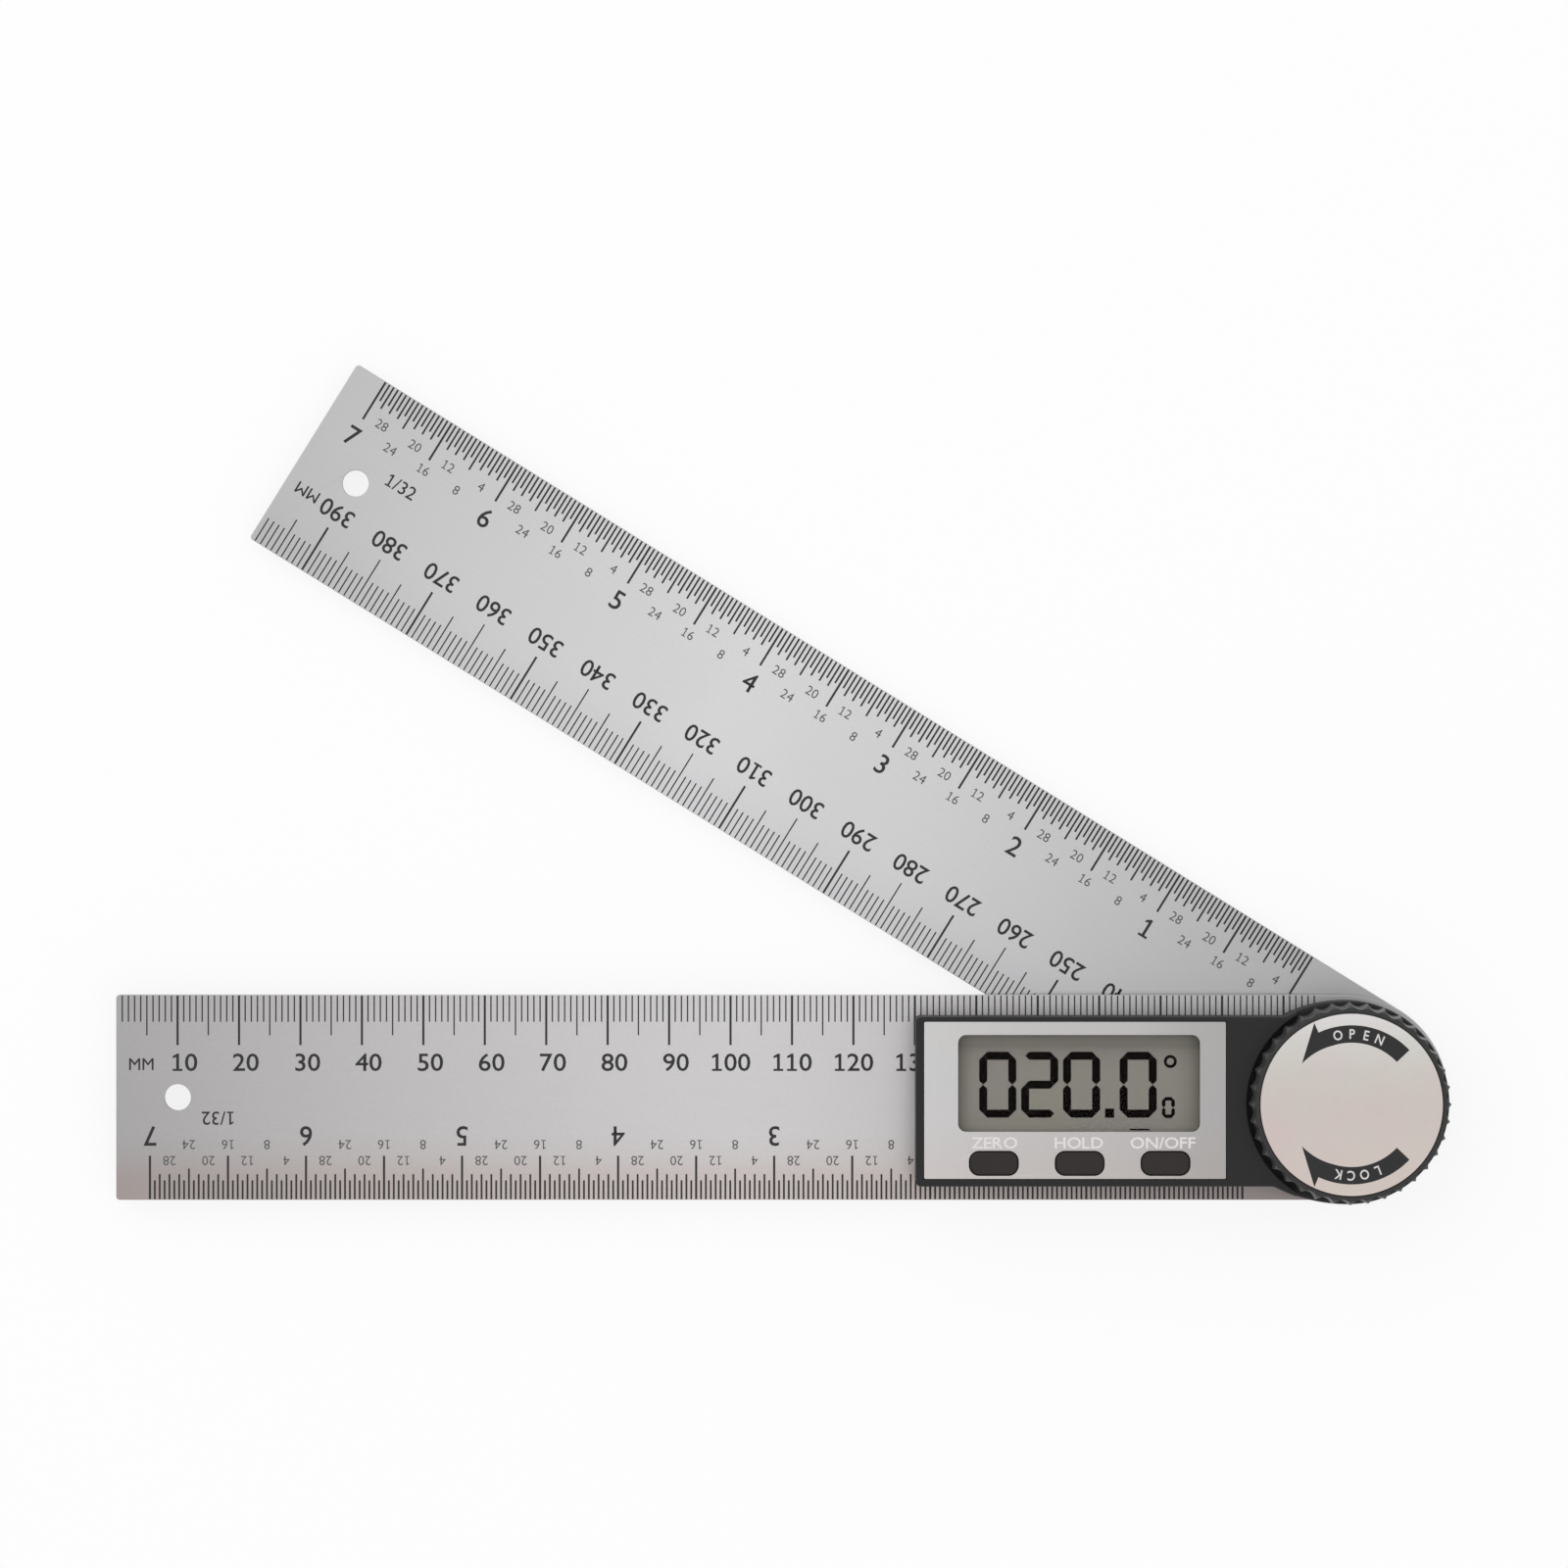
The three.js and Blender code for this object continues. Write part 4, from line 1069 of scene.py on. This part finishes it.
def glyph(character, height, weight):
    """A centred, capital-high character with extra weight: points, faces, outline edges, advance."""
    key = (character, height, weight)
    if key in glyph_cache:
        return glyph_cache[key]
    scale = height / font_capital
    alike = "0" if character == "1" else character
    advance = (reach(alike * 2, 0) - reach(alike, 0)) * scale
    if character == "1":
        points = [Vector(point) * height for point in figure_one]
        faces = [list(range(len(points)))]
    else:
        work = bmesh.new()
        work.from_mesh(text_mesh(character))
        bmesh.ops.remove_doubles(work, verts=work.verts, dist=1e-5)
        work.normal_update()
        points = [vertex.co.xy * scale for vertex in work.verts]
        faces = [
            [vertex.index for vertex in face.verts][::1 if face.normal.z > 0 else -1]
            for face in work.faces]
        work.free()
    sides = {(face[i - 1], face[i]) for face in faces for i in range(len(face))}
    rim = [(start, end) for start, end in sides if (end, start) not in sides]
    following, previous = dict(rim), {end: start for start, end in rim}
    moved = []
    for i, point in enumerate(points):
        before = (point - points[previous[i]]).normalized()
        after = (points[following[i]] - point).normalized()
        outwards = Vector((before.y + after.y, -before.x - after.x)).normalized()
        slant = max(outwards.dot(Vector((before.y, -before.x))), 0.5)
        moved.append(point + outwards * (weight / slant))
    across = [point.x for point in moved]
    middle = Vector(((min(across) + max(across)) / 2, height / 2))
    glyph_cache[key] = [point - middle for point in moved], faces, rim, advance
    return glyph_cache[key]


class Print(Shell):
    """Flat marks on a face at one height."""

    def __init__(self, face):
        super().__init__()
        self.bottom = face - print_sink
        self.top = face + print_rise

    def flat(self, points):
        self.prism(points, self.bottom, self.top)

    def bar(self, x, width, start, end):
        """A bar at x, from one height on the face to another."""
        low, high = sorted((start, end))
        half = width / 2
        self.flat([(x - half, low), (x + half, low), (x + half, high), (x - half, high)])

    def word(self, text, x, y, height, turn=0.0, weight=0.0, stretch=1.0):
        c, s = cos(radians(turn)), sin(radians(turn))
        glyphs = [glyph(character, height, weight) for character in text]
        pen = -sum(advance for *_, advance in glyphs) / 2
        for points, faces, rim, advance in glyphs:
            pen += advance / 2
            placed = [
                (x + (u + pen) * stretch * c - v * s, y + (u + pen) * stretch * s + v * c)
                for u, v in points]
            pen += advance / 2
            low, high = self.ring(placed, self.bottom), self.ring(placed, self.top)
            self.faces.extend([high[i] for i in face] for face in faces)
            self.faces.extend([low[i] for i in face[::-1]] for face in faces)
            self.faces.extend((low[i], low[j], high[j], high[i]) for i, j in rim)


# The scales. Distances are from the tip, and edge is the rule's edge that the scale stands on.
scale_end = 196
mm_tick_width = 0.22
inch_tick_width = 0.31
tick_width_bold = 0.36
mm_ticks = {1: 4.4, 5: 6.6, 10: 8.2}
mm_number_height = 2.75
mm_number_inset = 11.0
two_figure_shift = 1.1
inch = 25.4
inch_parts = 32
inch_count = 7
inch_zero = 183.3
inch_ticks = ((16, 7.2), (8, 5.1), (2, 4.2), (1, 3.2))
inch_number_height = 3.1
inch_number_inset = 10.4
number_weight = 0.035
part_number_height = 1.5
part_number_rows = {0: 9.0, 4: 6.4}
unit_height = 1.9
unit_weight = 0.015
unit_place = (4.1, 11.3)
share_height = 2.1
share_place = (16.6, 3.4)


def mm_scale(marks, numbers, edge, inward, first, step, bold_every, stretch):
    """A millimetre scale. Its numbers start from first at the tip and run by step."""
    start = edge + inward * rule_edge
    turn = 0 if inward < 0 else 180
    for n in range(1, scale_end):
        length = mm_ticks[10 if n % 10 == 0 else 5 if n % 5 == 0 else 1]
        width = tick_width_bold if n % bold_every == 10 % bold_every else mm_tick_width
        marks.bar(rule_tip + n, width, start, edge + inward * length)
        if n % 10 == 0:
            value = first + step * n
            shift = two_figure_shift if value < 100 else 0.0
            numbers.word(str(value), rule_tip + n + shift, edge + inward * mm_number_inset,
                         mm_number_height, turn, number_weight, stretch)
    along, across = unit_place
    numbers.word("MM", rule_tip + along, edge + inward * across, unit_height, turn, unit_weight)


def inch_scale(marks, numbers, parts, edge, inward):
    """An inch scale in thirty-second parts, with its zero at the pivot's end."""
    start = edge + inward * rule_edge
    turn = 0 if inward < 0 else 180
    for n in range(inch_count * inch_parts + 1):
        x = rule_tip + inch_zero - n * inch / inch_parts
        length = next(size for every, size in inch_ticks if n % every == 0)
        width = tick_width_bold if n % 16 == 0 else inch_tick_width
        marks.bar(x, width, start, edge + inward * length)
        part = n % inch_parts
        if part == 0 and n:
            numbers.word(str(n // inch_parts), x, edge + inward * inch_number_inset,
                         inch_number_height, turn, number_weight)
        elif part and part % 4 == 0:
            row = part_number_rows[part % 8]
            parts.word(str(part), x, edge + inward * row, part_number_height, turn)
    along, across = share_place
    numbers.word("1/32", rule_tip + along, rule_lift - inward * across, share_height, turn, unit_weight)


def make_scales(name, body, face, mm_side, first, step, bold_every, stretch, turn):
    """The prints of one rule, whose millimetre scale is on its upper (1) or lower (-1) edge."""
    marks, numbers, parts = Print(face), Print(face), Print(face)
    mm_edge = rule_lift + mm_side * rule_half_width
    inch_edge = rule_lift - mm_side * rule_half_width
    mm_scale(marks, numbers, mm_edge, -mm_side, first, step, bold_every, stretch)
    inch_scale(marks, numbers, parts, inch_edge, mm_side)
    for kind, group, tone in (
            ("marks", marks, scale_ink), ("numbers", numbers, scale_ink), ("parts", parts, part_ink)):
        piece(f"{name}_scale_{kind}", group.mesh(kind), body, tone, turn=turn)


# The reading: seven segments a digit, as shares of the digit's box
digit_width = 6.0
digit_height = 10.65
digit_stroke = 1.3
digit_base = -2.33
digit_starts = (-59.75, -52.97, -46.2, -37.05)
digit_texts = ("0", "2", "0", "0")
digit_gap = 0.01  # between two strokes, as a share of their width
segments_on = {"0": "abcdef", "2": "abged"}
segments = {  # from and to a place on the digit's grid of two columns and three rows
    "a": (0, 2, 1, 2), "b": (1, 1, 1, 2), "c": (1, 0, 1, 1), "d": (0, 0, 1, 0), "e": (0, 0, 0, 1),
    "f": (0, 1, 0, 2), "g": (0, 1, 1, 1)}
small_digit = (-30.22, -2.4, 2.1, 3.4, 0.58)  # left, base, width, height and stroke
point_mark = (-38.68, 1.48, -2.34, -0.86)
degree_middle, degree_outer, degree_inner = (-28.85, 6.75), 1.05, 0.58
under_mark = (-33.8, 3.2, window_bottom + 0.12, window_bottom + 0.38)


def digit(marks, text, left, base, width, height, stroke):
    half = stroke / 2
    columns = (left + half, left + width - half)
    rows = (base + half, base + height / 2, base + height - half)
    for name in segments_on[text]:
        x0, y0, x1, y1 = segments[name]
        along = Vector((x1 - x0, y1 - y0))
        point, across = along * half, along.orthogonal() * half
        start = Vector((columns[x0], rows[y0])) + along * stroke * digit_gap
        end = Vector((columns[x1], rows[y1])) - along * stroke * digit_gap
        marks.flat([start, start + point - across, end - point - across,
                    end, end - point + across, start + point + across])


def make_reading():
    marks = Print(glass_front)
    for text, left in zip(digit_texts, digit_starts):
        digit(marks, text, left, digit_base, digit_width, digit_height, digit_stroke)
    marks.bar(*point_mark)
    digit(marks, "0", *small_digit)
    height = [(marks.bottom, 0), (marks.top, 0)]
    degree_hole = circle(*degree_middle, degree_inner), height
    solid(circle(*degree_middle, degree_outer), height, [degree_hole], shell=marks)
    marks.bar(*under_mark)
    piece("display_reading", marks.mesh("reading"), "fixed_assembly", segment_ink)


# Labels over the keys
label_height = 1.74
label_row = -6.3
label_weight = 0.04
labels = (("ZERO", -57.3, 1.14), ("HOLD", -43.75, 1.14), ("ON/OFF", -30.15, 1.15))


def make_labels():
    marks = Print(plate_high.z)
    for text, x, stretch in labels:
        marks.word(text, x, label_row, label_height, 0, label_weight, stretch)
    piece("key_labels", marks.mesh("labels"), "fixed_assembly", label_ink)


# The arrows on the knob, as angles in degrees and radii
arrow_band = (10.0, 12.8)
arrow_ends = (43.5, 114.7)
arrow_barb = (14.5, 114.5)
arrow_point = (10.4, 140.4)
arrow_word_radius = 11.4
arrow_word = (1.5, 0.035, 0.88)  # height, weight and stretch
arrow_steps = 40
arrow_letters = (
    ("O", 101.3), ("P", 89.6), ("E", 78.0), ("N", 66.8),
    ("L", -68.5), ("O", -79.6), ("C", -90.4), ("K", -101.2))


def make_knob_print():
    arrows, words = Print(face_high.z), Print(face_high.z + print_rise)
    inner, outer = arrow_band
    start, end = arrow_ends
    band_out = [polar(outer, start + (end - start) * i / arrow_steps) for i in range(arrow_steps + 1)]
    point_radius, point_angle = arrow_point
    band_in = []
    for i in range(1, arrow_steps + 1):
        share = i / arrow_steps
        radius = point_radius + (inner - point_radius) * min(1, share * 3)
        band_in.append(polar(radius, point_angle + (start - point_angle) * share))
    head = [polar(*arrow_barb), polar(*arrow_point)]
    upper = band_out + head + band_in
    arrows.flat(upper)
    arrows.flat([(x, -y) for x, y in upper[::-1]])
    height, weight, stretch = arrow_word
    for letter, angle in arrow_letters:
        words.word(letter, *polar(arrow_word_radius, angle), height, angle - 90, weight, stretch)
    piece("knob_arrows", arrows.mesh("arrows"), "lock_knob", arrow_ink)
    piece("knob_words", words.mesh("words"), "lock_knob", word_silver)


make_scales("fixed", "fixed_assembly", rule_high.z,
            mm_side=1, first=0, step=1, bold_every=10, stretch=1.1, turn=0)
make_scales("moving", "moving_arm", arm_high.z,
            mm_side=-1, first=400, step=-1, bold_every=20, stretch=1.0, turn=-open_angle)
make_reading()
make_labels()
make_knob_print()


# Camera, light and floor. Lamps and the floor's size are in metres.
world_strength = 0.78
floor_size = 3.0
floor_drop = 0.05  # millimetres below the object
floor_share_shown = 0.82  # the rest of what is seen shows the shadow
lamps = (
    ("sheen", (-0.12, -0.02, 1.35), (-0.11, 0.02, 0), 0.8, 0.05),
    ("key", (-0.65, 0.65, 0.95), (-0.09, 0.05, 0), 1.3, 3.4),
    ("fill", (0.6, -0.55, 0.9), (-0.09, 0.05, 0), 1.3, 1.8),
)


def make_camera():
    camera = bpy.data.cameras.new("camera")
    camera.lens = camera_lens
    camera.sensor_width = camera_sensor
    camera.clip_start = 0.01
    holder = put("camera", camera)
    x, y = camera_place
    holder.location = (x * MM, y * MM, (rule_high.z + camera_above_rule) * MM)
    scene.camera = holder


def make_lamp(name, place, target, size, power):
    light = bpy.data.lights.new(name, "AREA")
    light.shape = "DISK"
    light.size = size
    light.energy = power
    holder = put(name, light)
    holder.location = place
    holder.rotation_euler = (Vector(target) - Vector(place)).to_track_quat("-Z", "Y").to_euler()


def make_world():
    world = bpy.data.worlds.new("studio")
    scene.world = world
    world.use_nodes = True
    wiring = Wiring(world.node_tree)
    lit = wiring.tree.nodes["Background"]
    shown = wiring.node("ShaderNodeBackground")
    wiring.fill(lit, grey(1), world_strength)
    wiring.fill(shown, grey(1), 1)
    wiring.blend(wiring.seen_directly(), lit, shown, "World Output")


def make_floor():
    """A pale floor that is seen as white, with the object's shadow on it."""
    half = floor_size / 2
    corners = [(-half, -half, 0), (half, -half, 0), (half, half, 0), (-half, half, 0)]
    mesh = bpy.data.meshes.new("floor")
    mesh.from_pydata(corners, [], [(0, 1, 2, 3)])
    floor = put("floor", mesh)
    floor.location.z = -floor_drop * MM
    finish = Finish("floor", grey(0.95), 0.9)
    glow = finish.node("ShaderNodeEmission")
    share = finish.math("MULTIPLY", finish.seen_directly(), floor_share_shown)
    finish.blend(share, finish.shader, glow, "Material Output")
    mesh.materials.append(finish.material)


make_camera()
make_world()
for lamp in lamps:
    make_lamp(*lamp)
make_floor()
